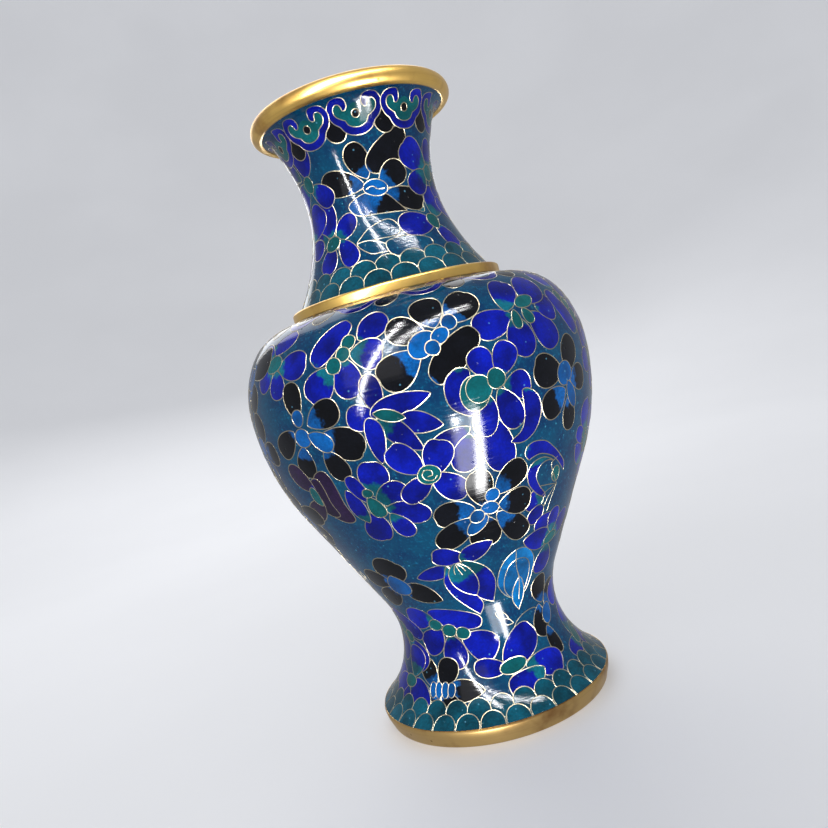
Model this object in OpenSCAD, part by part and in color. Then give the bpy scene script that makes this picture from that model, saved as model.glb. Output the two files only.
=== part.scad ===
// Cloisonne baluster vase: copper shells, gilt rings, wire cells and enamel fills.
// Origin at the centre of the resting face, +Z up along the axis of the vase.

/* [Outline] */
// Overall height, from the resting face to the top of the rim ring
vase_height = 180; // [179.5:0.1:181]
// Radius of the enamel at the widest part of the belly
belly_r = 50.4; // [49:0.2:52]
// Height of the widest part of the belly
belly_z = 98.2; // [96:0.2:100]
// Radius of the enamel at the waist above the foot
waist_r = 24; // [23:0.2:25]
// Height of the waist
waist_z = 25.7; // [25:0.1:27]
// Radius of the enamel at the narrowest part of the neck
neck_r = 19.25; // [18.5:0.25:20]
// Height of the narrowest part of the neck
neck_z = 153; // [152:0.5:154]

/* [Rings] */
// Outer radius of the rim ring
rim_r = 29.7; // [29.5:0.1:30.5]
// Height of the underside of the rim ring
rim_z = 175; // [174.8:0.1:175.2]
// Outer radius of the collar ring
collar_r = 31.2; // [31.1:0.1:32]
// Height of the top of the collar ring
collar_z = 125.2; // [125:0.1:125.4]
// Outer radius of the foot ring at its upper lip
foot_r = 34.7; // [34.6:0.1:35.2]
// Outer radius of the foot ring where it rests
foot_base_r = 33.5; // [33:0.1:34]
// Radius of the bore of the foot ring, which holds the base plate
foot_bore_r = 30.8; // [30:0.1:31.5]

/* [Walls] */
// Thickness of the enamel outside the copper, which is also the height of the wires
enamel_t = 0.6; // [0.5:0.05:0.8]
// Thickness of the copper shells
copper_t = 1; // [0.8:0.1:1.2]
// Thickness of the counter enamel inside
lining_t = 0.3; // [0.2:0.05:0.4]
// Thickness of the enamel under the base plate
base_enamel_t = 0.4; // [0.3:0.05:0.6]
// Width of a cell wire
wire_w = 0.45; // [0.4:0.05:0.6]
// Height of the soldered laps between the copper shells
lap_h = 2.4; // [1.6:0.2:3]

/* [Ornament] */
// Number of cloud heads under the rim ring
neck_heads = 10; // [8:2:10]
// Number of cloud heads under the collar ring
shoulder_heads = 12; // [10:2:14]
// Number of scales in each row above the collar ring
neck_scales = 18; // [14:2:20]
// Number of scales in each row above the foot ring
foot_scales = 20; // [16:2:24]
// Number of petals on a flower
petals = 5; // [4:1:6]

/* [Hidden] */

// Depths of the layers under the enamel's outer face
copper_face = enamel_t;
copper_back = enamel_t + copper_t;
lap_face = enamel_t + copper_t / 2;
lining_face = copper_back + lining_t;

// Longest straight step along the wall's section
wall_step = 7.5;
// How far the cutting prisms of the ornament reach inside and outside the wall
cut_in = 4.5;
cut_out = 3;
// How far the neck's spigot reaches below the flange
spigot_h = 2;

// Stations of the wall's outer face: radius, height, and lean of the tangent from upright
body_stations = [[foot_r - 0.2, 5.4, -53], [waist_r, waist_z, 0], [27, 37.5, 28],
    [belly_r, belly_z, 0], [35.4, 121.4, -78], [31, 122.3, -78]];
neck_stations = [[28.8, collar_z, -33], [neck_r, neck_z, 0], [24.6, rim_z - 1, 27], [27, rim_z + 0.3, 60]];

// Which flowers of the rows a cell belongs to
black = 0;
blue = 1;
both = -1;

// Rows of flowers: height, number round the vase, angle of the first, radius of a flower
upper_rows = [[104, 6, 8, 12.5], [80, 6, -22, 12]];
lower_rows = [[57, 6, 8, 10], [36, 4, -18, 8], [17, 4, 27, 5]];
neck_rows = [[153, 4, 5, 8], [140, 4, 50, 5.6]];
body_rows = concat(upper_rows, lower_rows);

// Turn of each flower from its neighbour, and of each row from the row before
flower_turn = 31;
row_turn = 17;

// Shares of a flower's radius: the heart, the widest place of a petal, and half its width there
heart_share = 0.3;
petal_wide_at = 0.68;
petal_half = 0.34;
// Width of a petal's tip, as a share of its greatest width
petal_tip = 0.45;

// Cloud heads: height of their centres on the wall and half the width of a head
neck_head_z = 169.8;
neck_head_w = 5;
shoulder_head_z = 120.4;
shoulder_head_w = 4.4;
// Angle of the first head of each border
first_head = 4;

// Shares of a head's half width: its scroll, its dot and the drop beside it, and how low they hang
scroll_share = 0.3;
dot_share = 0.16;
dot_hang = 0.15;
drop_share = 0.3;
drop_hang = 0.5;

// Rows of scales: heights of their lower edges, half the width and the height of a scale
neck_scale_rows = [126.8, 130.5];
foot_scale_rows = [6.7, 9.5];
scale_w = 3.5;
scale_h = 2.4;

gold = [0.83, 0.66, 0.27];
wire_gold = [0.86, 0.78, 0.5];
copper = [0.72, 0.45, 0.3];
teal = [0.04, 0.33, 0.42];
cobalt = [0.05, 0.07, 0.62];
ink = [0.03, 0.03, 0.06];
sky = [0.12, 0.45, 0.8];
jade = [0.05, 0.5, 0.48];

// ---- Section of the wall: stations joined by pairs of arcs ----

function heading(lean) = [sin(lean), cos(lean)];
function outward(t) = [t[1], -t[0]];
function at(s) = [s[0], s[1]];

// The point where two arcs of equal handles meet between stations p and q
function arc_join(p, q) =
    let (t0 = heading(p[2]), t1 = heading(q[2]), v = at(q) - at(p), along = v * (t0 + t1),
        spread = 2 * (1 - t0 * t1),
        d = spread < 1e-9
            ? (v * v) / (4 * (v * t1))
            : (sqrt(along * along + spread * (v * v)) - along) / spread)
    (at(p) + t0 * d + at(q) - t1 * d) / 2;

// The arc from p, leaving along t, to q: centre, signed radius, start angle, sweep
function arc_to(p, t, q) =
    let (w = q - p, bend = 2 * (w * outward(t)) / (w * w), r = abs(bend) < 1e-5 ? 1e5 : 1 / bend,
        c = p + outward(t) * r, a = atan2(p[1] - c[1], p[0] - c[0]), b = atan2(q[1] - c[1], q[0] - c[0]))
    [c, r, a, (b - a + 540) % 360 - 180];

function arc_end_heading(arc) =
    let (b = arc[2] + arc[3]) (arc[1] > 0 ? 1 : -1) * [sin(b), -cos(b)];

function arc_pair(p, q) =
    let (m = arc_join(p, q), first = arc_to(at(p), heading(p[2]), m))
    [first, arc_to(m, arc_end_heading(first), at(q))];

function wall_arcs(stations) = [for (i = [1:len(stations) - 1]) each arc_pair(stations[i - 1], stations[i])];

body_arcs = wall_arcs(body_stations);
neck_arcs = wall_arcs(neck_stations);

// The point at share s of an arc, moved inwards by depth
function arc_point(arc, s, depth) =
    let (r = abs(arc[1]) + (arc[1] > 0 ? depth : -depth), a = arc[2] + arc[3] * s)
    arc[0] + r * heading(90 - a);

function arc_steps(arc) = max(1, ceil(abs(arc[1] * arc[3]) * PI / 180 / wall_step));

// The section's line at a depth under the outer face, from bottom to top
function skin(arcs, depth) = [
    for (arc = arcs) let (n = arc_steps(arc)) for (i = [0:n - 1]) arc_point(arc, i / n, depth),
    arc_point(arcs[len(arcs) - 1], 1, depth)
];

function reversed(v) = [for (i = [len(v) - 1:-1:0]) v[i]];
function first_point(arcs, depth) = arc_point(arcs[0], 0, depth);
function last_point(arcs, depth) = arc_point(arcs[len(arcs) - 1], 1, depth);

// Radius and lean of the outer face at a height
function arc_at(arcs, z) = [for (arc = arcs) if (z <= arc_point(arc, 1, 0)[1]) arc][0];
function wall_at(arcs, z) =
    let (arc = arc_at(arcs, z), side = arc[1] > 0 ? 1 : -1, dz = z - arc[0][1],
        dr = sqrt(arc[1] * arc[1] - dz * dz))
    [arc[0][0] - side * dr, atan(side * dz / dr)];

// Points of a quarter round from angle a to angle b
function round_corner(centre, r, a, b) = [for (i = [0:4]) centre + r * heading(90 - a - (b - a) * i / 4)];

module spun(points) { rotate_extrude($fn = 120) polygon(points); }

// A layer of the wall between two depths
module layer(arcs, outer, inner) { spun(concat(skin(arcs, outer), reversed(skin(arcs, inner)))); }

// ---- Copper shells ----

flange_r = first_point(neck_arcs, copper_face)[0];
flange_z = last_point(body_arcs, copper_face)[1];
spigot_r = first_point(neck_arcs, copper_back)[0];
spigot_z = flange_z - copper_t - spigot_h;

function body_copper(outer, inner) = concat(skin(body_arcs, outer), reversed(skin(body_arcs, inner)));

// The part of the body's copper between two heights, with half laps at the seams
module body_section(z0, z1) {
    reach = belly_r + 1;
    rotate_extrude($fn = 120) {
        difference() {
            intersection() {
                polygon(body_copper(copper_face, copper_back));
                translate([0, z0]) square([reach, z1 - z0]);
            }
            if (z0 > 0) intersection() {
                polygon(body_copper(lap_face, copper_back));
                translate([0, z0]) square([reach, lap_h]);
            }
        }
    }
}

// The lap tongue that stands up inside the next shell
module lap_tongue(z) {
    rotate_extrude($fn = 120) intersection() {
        polygon(body_copper(lap_face, copper_back));
        translate([0, z]) square([belly_r + 1, lap_h]);
    }
}

module neck_shell() {
    color(copper) spun(concat(
        [[spigot_r, spigot_z], [flange_r, spigot_z]],
        skin(neck_arcs, copper_face),
        reversed(skin(neck_arcs, copper_back))));
}

module upper_body_shell() {
    flange = [
        [flange_r, flange_z - copper_t],
        [flange_r, flange_z],
        last_point(body_arcs, copper_face),
        last_point(body_arcs, copper_back)
    ];
    color(copper) union() {
        body_section(belly_z, collar_z);
        spun(flange);
    }
}

module lower_body_shell() {
    color(copper) union() {
        body_section(waist_z, belly_z);
        lap_tongue(belly_z);
    }
}

module foot_shell() {
    color(copper) union() {
        body_section(0, waist_z);
        lap_tongue(waist_z);
    }
}

floor_z = first_point(body_arcs, lining_face)[1];

module base_plate() {
    color(copper) translate([0, 0, floor_z - copper_t]) cylinder(r = foot_bore_r, h = copper_t, $fn = 120);
}

// ---- Gilt rings ----

module rim_ring() {
    edge_r = 1.2;
    top_r = 1.8;
    back = last_point(neck_arcs, lining_face);
    mouth_r = back[0];
    color(gold) spun(concat(
        [last_point(neck_arcs, 0)],
        round_corner([rim_r - edge_r, rim_z + edge_r], edge_r, -90, 0),
        round_corner([rim_r - top_r, vase_height - top_r], top_r, 0, 90),
        round_corner([mouth_r + edge_r, vase_height - edge_r], edge_r, 90, 180),
        [back]));
}

module collar_ring() {
    edge = 0.5;
    seat = last_point(body_arcs, 0);
    color(gold) spun([
        [flange_r, flange_z],
        last_point(body_arcs, copper_face),
        seat,
        [collar_r, seat[1]],
        [collar_r, collar_z - edge],
        [collar_r - edge, collar_z],
        first_point(neck_arcs, 0),
        first_point(neck_arcs, copper_face)
    ]);
}

module foot_ring() {
    edge = 0.5;
    seat = first_point(body_arcs, 0);
    back = first_point(body_arcs, lining_face);
    color(gold) spun([
        [foot_bore_r, 0],
        [foot_base_r - edge, 0],
        [foot_base_r, edge],
        [foot_r, seat[1] - 2 * edge],
        [foot_r, seat[1] - edge],
        [foot_r - edge / 3, seat[1]],
        seat,
        back,
        [foot_bore_r, back[1]]
    ]);
}

// ---- Counter enamel inside and under the base ----

module neck_lining() { color(teal) layer(neck_arcs, copper_back, lining_face); }
module body_lining() { color(teal) layer(body_arcs, copper_back, lining_face); }

module floor_lining() {
    wall = first_point(body_arcs, lining_face);
    clear = 2 * lining_t;
    color(teal) translate([0, 0, wall[1]]) cylinder(r = wall[0] - clear, h = lining_t, $fn = 120);
}

module base_enamel() {
    color(teal) translate([0, 0, floor_z - copper_t - base_enamel_t])
        cylinder(r = foot_bore_r, h = base_enamel_t, $fn = 120);
}

// ---- Placing the ornament on the wall ----

// A regular polygon with n corners
function regular(n, r, centre = [0, 0]) = [for (i = [0:n - 1]) centre + r * heading(360 * (i + 0.5) / n)];

// Flat shapes stood on the wall at an angle and a height, and cut straight through it
module on_wall(arcs, angle, z, turn = 0) {
    wall = wall_at(arcs, z);
    rotate([0, 0, angle]) translate([0, -wall[0], z]) rotate([90 + wall[1], 0, 0]) rotate([0, 0, turn])
        translate([0, 0, -cut_in]) linear_extrude(cut_in + cut_out) children();
}

// The enamel layer wherever the children's prisms cut it
module in_enamel(arcs) {
    intersection() {
        layer(arcs, 0, copper_face);
        union() children();
    }
}

// ---- Flowers ----

// Outline of one upright petal; grow widens it by the wire that surrounds it
function petal_points(reach, grow) =
    let (heart = heart_share * reach, half = tan(180 / petals), mid = petal_wide_at * reach,
        base_w = (heart + wire_w) * half - wire_w / 2 + grow,
        mid_w = min(mid * half - wire_w / 2, petal_half * reach) + grow)
    [
        [-base_w, heart + wire_w - 2 * grow],
        [base_w, heart + wire_w - 2 * grow],
        [mid_w, mid],
        [petal_tip * mid_w, reach + grow],
        [-petal_tip * mid_w, reach + grow],
        [-mid_w, mid]
    ];

module petal_ring(reach, grow = 0) {
    for (i = [0:petals - 1]) rotate(360 * i / petals) polygon(petal_points(reach, grow));
}
module heart(reach, grow = 0) { polygon(regular(petals, heart_share * reach + grow)); }

module flower_outline(reach) {
    petal_ring(reach, wire_w);
    heart(reach, wire_w);
}

module flower_frame(reach) {
    difference() {
        flower_outline(reach);
        petal_ring(reach);
        heart(reach);
    }
}

// Angle, height, radius and turn of every flower in the rows; colour picks alternate flowers
function flower_places(rows, colour) = [
    for (k = [0:len(rows) - 1]) for (i = [0:rows[k][1] - 1])
        if (colour == both || (k + i) % 2 == colour)
            [rows[k][2] + 360 * i / rows[k][1], rows[k][0], rows[k][3], flower_turn * i + row_turn * k]
];

// Stands the children on the wall at each flower, with $reach as the flower's radius
module each_flower(arcs, rows, colour) {
    for (place = flower_places(rows, colour)) {
        $reach = place[2];
        on_wall(arcs, place[0], place[1], place[3]) children();
    }
}

module petal_cells(arcs, rows, colour) { in_enamel(arcs) each_flower(arcs, rows, colour) petal_ring($reach); }
module heart_cells(arcs, rows, colour) { in_enamel(arcs) each_flower(arcs, rows, colour) heart($reach); }
module flower_wires(arcs, rows) { in_enamel(arcs) each_flower(arcs, rows, both) flower_frame($reach); }

module neck_black_petals() { color(ink) petal_cells(neck_arcs, neck_rows, black); }
module neck_blue_petals() { color(cobalt) petal_cells(neck_arcs, neck_rows, blue); }
module neck_black_flower_hearts() { color(sky) heart_cells(neck_arcs, neck_rows, black); }
module neck_blue_flower_hearts() { color(jade) heart_cells(neck_arcs, neck_rows, blue); }
module neck_flower_wires() { color(wire_gold) flower_wires(neck_arcs, neck_rows); }
module body_black_petals() { color(ink) petal_cells(body_arcs, body_rows, black); }
module body_blue_petals() { color(cobalt) petal_cells(body_arcs, body_rows, blue); }
module body_black_flower_hearts() { color(sky) heart_cells(body_arcs, body_rows, black); }
module body_blue_flower_hearts() { color(jade) heart_cells(body_arcs, body_rows, blue); }
module upper_flower_wires() { color(wire_gold) flower_wires(body_arcs, upper_rows); }
module lower_flower_wires() { color(wire_gold) flower_wires(body_arcs, lower_rows); }

// ---- Cloud heads: a cobalt scroll round a teal heart, with a black dot, and drops between ----

// Outline of a hanging cloud head: two upper lobes with a notch between them, and a round chin
cloud_shape = [[-1, 0.3], [-0.6, 0.8], [0, 0.45], [0.6, 0.8], [1, 0.3], [0.45, -0.8], [-0.45, -0.8]];

module cloud_outline(w, grow = 0) { polygon((w + grow) * cloud_shape); }
module cloud_dot(w, grow = 0) { polygon(regular(5, dot_share * w + grow, [0, -dot_hang * w])); }
module cloud_scroll(w) {
    difference() {
        cloud_outline(w);
        cloud_outline(w, wire_w - scroll_share * w);
    }
}
module cloud_heart(w) {
    difference() {
        cloud_outline(w, -scroll_share * w);
        cloud_dot(w, wire_w);
    }
}
module cloud_frame(w) {
    difference() {
        cloud_outline(w, wire_w);
        cloud_scroll(w);
        cloud_heart(w);
        cloud_dot(w);
    }
}
module cloud_rim(w) {
    difference() {
        cloud_outline(w, wire_w);
        cloud_outline(w);
    }
}
module drop(w, grow = 0) { polygon(regular(5, drop_share * w + grow, [0, -drop_hang * w])); }
module drop_frame(w) {
    difference() {
        drop(w, wire_w);
        drop(w);
    }
}

// Round the vase: the children at every head, or half a step on for the drops between them
module each_head(arcs, z, count, shift = 0) {
    for (i = [0:count - 1]) on_wall(arcs, first_head + 360 * (i + shift) / count, z) children();
}

module neck_cloud_scrolls() {
    color(cobalt) in_enamel(neck_arcs)
        each_head(neck_arcs, neck_head_z, neck_heads) cloud_scroll(neck_head_w);
}
module neck_cloud_hearts() {
    color(jade) in_enamel(neck_arcs)
        each_head(neck_arcs, neck_head_z, neck_heads) cloud_heart(neck_head_w);
}
module neck_cloud_drops() {
    color(ink) in_enamel(neck_arcs) {
        each_head(neck_arcs, neck_head_z, neck_heads) cloud_dot(neck_head_w);
        each_head(neck_arcs, neck_head_z, neck_heads, 0.5) drop(neck_head_w);
    }
}
module neck_cloud_wires() {
    color(wire_gold) in_enamel(neck_arcs) {
        each_head(neck_arcs, neck_head_z, neck_heads) cloud_frame(neck_head_w);
        each_head(neck_arcs, neck_head_z, neck_heads, 0.5) drop_frame(neck_head_w);
    }
}
module shoulder_cloud_heads() {
    color(cobalt) in_enamel(body_arcs)
        each_head(body_arcs, shoulder_head_z, shoulder_heads) cloud_outline(shoulder_head_w);
}
module shoulder_cloud_drops() {
    color(ink) in_enamel(body_arcs)
        each_head(body_arcs, shoulder_head_z, shoulder_heads, 0.5) drop(shoulder_head_w);
}
module shoulder_cloud_wires() {
    color(wire_gold) in_enamel(body_arcs) {
        each_head(body_arcs, shoulder_head_z, shoulder_heads) cloud_rim(shoulder_head_w);
        each_head(body_arcs, shoulder_head_z, shoulder_heads, 0.5) drop_frame(shoulder_head_w);
    }
}

// ---- Scales: rows of arches, each row half a scale round from the last ----

module scale_cell(grow = 0) {
    polygon(concat(
        [for (a = [0:45:180]) [(scale_w + grow) * cos(a), (scale_h + grow) * sin(a)]],
        grow > 0 ? [[-scale_w - grow, -grow], [scale_w + grow, -grow]] : []));
}
module scale_frame() {
    difference() {
        scale_cell(wire_w);
        scale_cell();
    }
}
module each_scale(arcs, rows, count) {
    for (k = [0:len(rows) - 1]) for (i = [0:count - 1])
        on_wall(arcs, 360 * (i + k / 2) / count, rows[k]) children();
}

module neck_scale_cells() {
    color(jade) in_enamel(neck_arcs) each_scale(neck_arcs, neck_scale_rows, neck_scales) scale_cell();
}
module neck_scale_wires() {
    color(wire_gold) in_enamel(neck_arcs) each_scale(neck_arcs, neck_scale_rows, neck_scales) scale_frame();
}
module foot_scale_cells() {
    color(jade) in_enamel(body_arcs) each_scale(body_arcs, foot_scale_rows, foot_scales) scale_cell();
}
module foot_scale_wires() {
    color(wire_gold) in_enamel(body_arcs) each_scale(body_arcs, foot_scale_rows, foot_scales) scale_frame();
}

// ---- Ground enamel: what is left of the layer round the cells ----

module neck_ground() {
    color(teal) difference() {
        layer(neck_arcs, 0, copper_face);
        each_flower(neck_arcs, neck_rows, both) flower_outline($reach);
        each_head(neck_arcs, neck_head_z, neck_heads) cloud_outline(neck_head_w, wire_w);
        each_head(neck_arcs, neck_head_z, neck_heads, 0.5) drop(neck_head_w, wire_w);
        each_scale(neck_arcs, neck_scale_rows, neck_scales) scale_cell(wire_w);
    }
}
module body_ground() {
    color(teal) difference() {
        layer(body_arcs, 0, copper_face);
        each_flower(body_arcs, body_rows, both) flower_outline($reach);
        each_head(body_arcs, shoulder_head_z, shoulder_heads) cloud_outline(shoulder_head_w, wire_w);
        each_head(body_arcs, shoulder_head_z, shoulder_heads, 0.5) drop(shoulder_head_w, wire_w);
        each_scale(body_arcs, foot_scale_rows, foot_scales) scale_cell(wire_w);
    }
}

neck_shell();
upper_body_shell();
lower_body_shell();
foot_shell();
base_plate();
rim_ring();
collar_ring();
foot_ring();
neck_lining();
body_lining();
floor_lining();
base_enamel();
neck_ground();
neck_cloud_scrolls();
neck_cloud_hearts();
neck_cloud_drops();
neck_cloud_wires();
neck_blue_petals();
neck_black_petals();
neck_blue_flower_hearts();
neck_black_flower_hearts();
neck_flower_wires();
neck_scale_cells();
neck_scale_wires();
body_ground();
shoulder_cloud_heads();
shoulder_cloud_drops();
shoulder_cloud_wires();
body_blue_petals();
body_black_petals();
body_blue_flower_hearts();
body_black_flower_hearts();
upper_flower_wires();
lower_flower_wires();
foot_scale_cells();
foot_scale_wires();
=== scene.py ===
"""Looks of the cloisonne vase: fine enamel cells, wires, gilt rings, materials, stage, lights and camera."""
import math

import bpy
import numpy as np
from mathutils import Matrix, Vector
from mathutils.geometry import delaunay_2d_cdt


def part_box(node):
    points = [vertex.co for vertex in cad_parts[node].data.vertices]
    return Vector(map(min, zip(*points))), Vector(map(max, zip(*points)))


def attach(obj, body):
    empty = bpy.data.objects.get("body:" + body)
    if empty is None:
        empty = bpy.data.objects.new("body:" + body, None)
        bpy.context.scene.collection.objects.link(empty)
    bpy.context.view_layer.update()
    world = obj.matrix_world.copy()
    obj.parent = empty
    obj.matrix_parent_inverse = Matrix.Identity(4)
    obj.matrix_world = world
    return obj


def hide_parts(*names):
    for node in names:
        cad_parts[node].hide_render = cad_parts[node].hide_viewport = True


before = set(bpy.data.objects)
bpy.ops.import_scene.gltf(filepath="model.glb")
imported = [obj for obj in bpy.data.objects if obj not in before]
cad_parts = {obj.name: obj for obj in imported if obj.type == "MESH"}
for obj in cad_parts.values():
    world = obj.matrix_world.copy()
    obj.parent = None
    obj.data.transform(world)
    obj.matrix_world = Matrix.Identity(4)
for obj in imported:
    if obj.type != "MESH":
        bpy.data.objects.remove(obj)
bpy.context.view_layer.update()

MM = 0.001
rng = np.random.default_rng(7)


def top_of(node):
    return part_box(node)[1].z / MM


def reach_of(node):
    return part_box(node)[1].x / MM


# ---- Section of the wall, in millimetres: stations of radius, height and lean, joined by pairs of arcs ----

VASE_H = top_of("rim_ring")
COLLAR_TOP = top_of("collar_ring")
BELLY_R = reach_of("body_ground")
BODY_STATIONS = [(34.5, 5.4, -53), (24, 25.7, 0), (27, 37.5, 28), (BELLY_R, 98.2, 0), (35.4, 121.4, -78),
                 (31, 122.3, -78)]
NECK_STATIONS = [(28.8, COLLAR_TOP, -33), (19.25, 153, 0), (24.6, 174, 27), (27, 175.3, 60)]

ENAMEL_T, COPPER_T, LINING_T = 0.6, 1.0, 0.3
GLAZE = 0.06        # how far the glaze lies under the crowns of the wires
COPPER_BACK = ENAMEL_T + COPPER_T
LINING_FACE = COPPER_BACK + LINING_T


def heading(lean):
    a = math.radians(lean)
    return np.array([math.sin(a), math.cos(a)])


def arc_points(p, t, q, step):
    w = q - p
    normal = np.array([t[1], -t[0]])
    bend = 2 * (w @ normal) / (w @ w)
    if abs(bend) < 1e-6:
        n = max(2, int(np.hypot(*w) / step))
        return p + np.linspace(0, 1, n + 1)[:, None] * w, t
    radius = 1 / bend
    centre = p + normal * radius
    a = math.atan2(p[1] - centre[1], p[0] - centre[0])
    b = math.atan2(q[1] - centre[1], q[0] - centre[0])
    sweep = (b - a + math.pi) % (2 * math.pi) - math.pi
    n = max(2, int(abs(radius * sweep) / step))
    angles = a + np.linspace(0, 1, n + 1) * sweep
    turn = 1 if radius > 0 else -1
    end = turn * np.array([math.sin(a + sweep), -math.cos(a + sweep)])
    return centre + abs(radius) * np.stack([np.cos(angles), np.sin(angles)], 1), end


def wall_line(stations, step=0.3):
    """Points of the wall's outer face from bottom to top."""
    line = []
    for s, e in zip(stations[:-1], stations[1:]):
        p, q, t0, t1 = np.array(s[:2], float), np.array(e[:2], float), heading(s[2]), heading(e[2])
        v, t = q - p, t0 + t1
        spread = 2 * (1 - t0 @ t1)
        along = v @ t
        if spread < 1e-9:
            d = (v @ v) / (4 * (v @ t1))
        else:
            d = (math.sqrt(along * along + spread * (v @ v)) - along) / spread
        middle = (p + t0 * d + q - t1 * d) / 2
        first, end = arc_points(p, t0, middle, step)
        second, _ = arc_points(middle, end, q, step)
        line += list(first[:-1]) + list(second[:-1])
    line.append(np.array(stations[-1][:2], float))
    return np.array(line)


class Wall:
    """A turned wall: radius, height and outward normal as functions of the length v along its section."""

    def __init__(self, stations):
        line = wall_line(stations)
        self.r, self.z = line[:, 0], line[:, 1]
        self.v = np.r_[0, np.cumsum(np.hypot(np.diff(self.r), np.diff(self.z)))]
        self.nr, self.nz = np.gradient(self.z, self.v), -np.gradient(self.r, self.v)
        size = np.hypot(self.nr, self.nz)
        self.nr, self.nz = self.nr / size, self.nz / size
        self.length = self.v[-1]

    def v_at(self, z):
        return float(np.interp(z, self.z, self.v))

    def radius(self, v):
        return np.interp(v, self.v, self.r)

    def normal(self, az, v):
        nr, nz = np.interp(v, self.v, self.nr), np.interp(v, self.v, self.nz)
        n = np.stack([nr * np.sin(az), -nr * np.cos(az), nz], -1)
        return n / np.linalg.norm(n, axis=-1, keepdims=True)

    def point(self, az, v, depth=0.0):
        r, z = self.radius(v), np.interp(v, self.v, self.z)
        return np.stack([r * np.sin(az), -r * np.cos(az), z], -1) - self.normal(az, v) * depth

    def section(self, outer, inner, step=2):
        """Closed section of a layer of the wall between two depths."""
        pick = np.r_[np.arange(0, len(self.v) - 1, step), len(self.v) - 1]
        line, n = np.stack([self.r, self.z], 1)[pick], np.stack([self.nr, self.nz], 1)[pick]
        return np.concatenate([line - n * outer, (line - n * inner)[::-1]])


neck = Wall(NECK_STATIONS)
body = Wall(BODY_STATIONS)

# ---- Outlines of the cells, in millimetres on the wall: x round the vase, y up the wall ----

# Fullness of a petal's outline towards its base and its tip
PETAL_KINDS = {"r": (0.72, 0.44), "o": (0.5, 0.5), "p": (0.5, 0.75), "l": (0.8, 0.8), "b": (0.32, 0.32),
               "n": (0.68, 0.42), "c": (0.45, 0.55), "f": (0.5, 0.44)}
PETAL_FULL = (1.02, 1.1)    # how far a petal's outline swells in length and width to meet its neighbours
PULL = 1.1                  # how far a petal's narrow base runs in towards the heart
PETAL_STEPS = 20
NICK_DEPTH, NICK_WIDTH = 0.75, 0.75
NICK_AT = 0.93              # how far out along the petal the nick of a nicked petal lies
PETAL_WOBBLE = 0.012


def bent(points, angle):
    """Bends an outline that lies along x into a bow of so many degrees."""
    if not angle:
        return points
    length = np.ptp(points[:, 0])
    k = math.radians(angle) / length
    x, y = points[:, 0], points[:, 1]
    return np.stack([np.sin(k * x) * (1 / k - y), (1 - np.cos(k * x)) / k + y * np.cos(k * x)], 1)


def turned(points, degrees, centre=(0, 0)):
    a = math.radians(degrees)
    c, s = math.cos(a), math.sin(a)
    return points @ np.array([[c, s], [-s, c]]) + np.array(centre)


def petal_outline(length, width, kind="r", bow=0):
    """A petal from its base at -x to its tip at +x."""
    a, b = PETAL_KINDS[kind]
    s = -np.cos(np.pi * np.arange(PETAL_STEPS + 1) / PETAL_STEPS)
    peak = (a - b) / (a + b)
    half = width / 2 * ((1 + s) / (1 + peak)) ** a * ((1 - s) / (1 - peak)) ** b
    upper = np.stack([s * length / 2, half], 1)
    lower = np.stack([s * length / 2, -half], 1)
    points = np.concatenate([upper, lower[-2:0:-1]])
    if kind == "n":
        side = rng.choice([-1, 1]) * rng.uniform(0.1, 0.5)
        nick = np.array([length / 2 * NICK_AT, side * width / 2])
        d = np.hypot(*(points - nick).T)
        inwards = np.array([-0.9, -0.43 * side])
        points = points + inwards * (NICK_DEPTH * np.exp(-d / NICK_WIDTH))[:, None]
    wobble = rng.normal(0, PETAL_WOBBLE, 3)
    t = np.linspace(0, 2 * np.pi, len(points), endpoint=False)
    swell = 1 + sum(wobble[i] * np.cos((i + 2) * t + wobble[i] * 90) for i in range(3))
    return bent(points * swell[:, None], bow)


def cubic(a, b, c, d, t):
    """A point between b and c of the Catmull-Rom curve through four points."""
    return 0.5 * (2 * b + (c - a) * t + (2 * a - 5 * b + 4 * c - d) * t * t + (3 * b - a - 3 * c + d) * t ** 3)


def spline(points, per_mm=1.8):
    """Smooth curve through given points, without its last point."""
    p = np.array(points, float)
    p = np.concatenate([[2 * p[0] - p[1]], p, [2 * p[-1] - p[-2]]])
    out = []
    for i in range(1, len(p) - 2):
        n = max(2, int(np.hypot(*(p[i + 1] - p[i])) * per_mm))
        out += [cubic(*p[i - 1:i + 3], t) for t in np.arange(n) / n]
    return np.array(out)


def closed_spline(points, per_mm=1.8):
    """Smooth loop through listed points; a point given twice is a corner."""
    p = np.array(points, float)
    out = []
    for i in range(len(p)):
        a, b, c, d = (p[(i + k) % len(p)] for k in (-1, 0, 1, 2))
        n = int(np.ceil(np.hypot(*(c - b)) * per_mm))
        out += [cubic(a, b, c, d, t) for t in np.arange(n) / max(n, 1)]
    return np.array(out)


def loop(*runs):
    return np.concatenate([spline(run) for run in runs])


def mirrored(points):
    return [(-x, y) for x, y in reversed(points)]


# ---- Flowers, each drawn about its heart ----

# Colour, petals and hearts (x, y, length, width, direction, kind, bow), loose wires, and free outlines with the
# share of their length that takes the lighter colour

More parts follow.
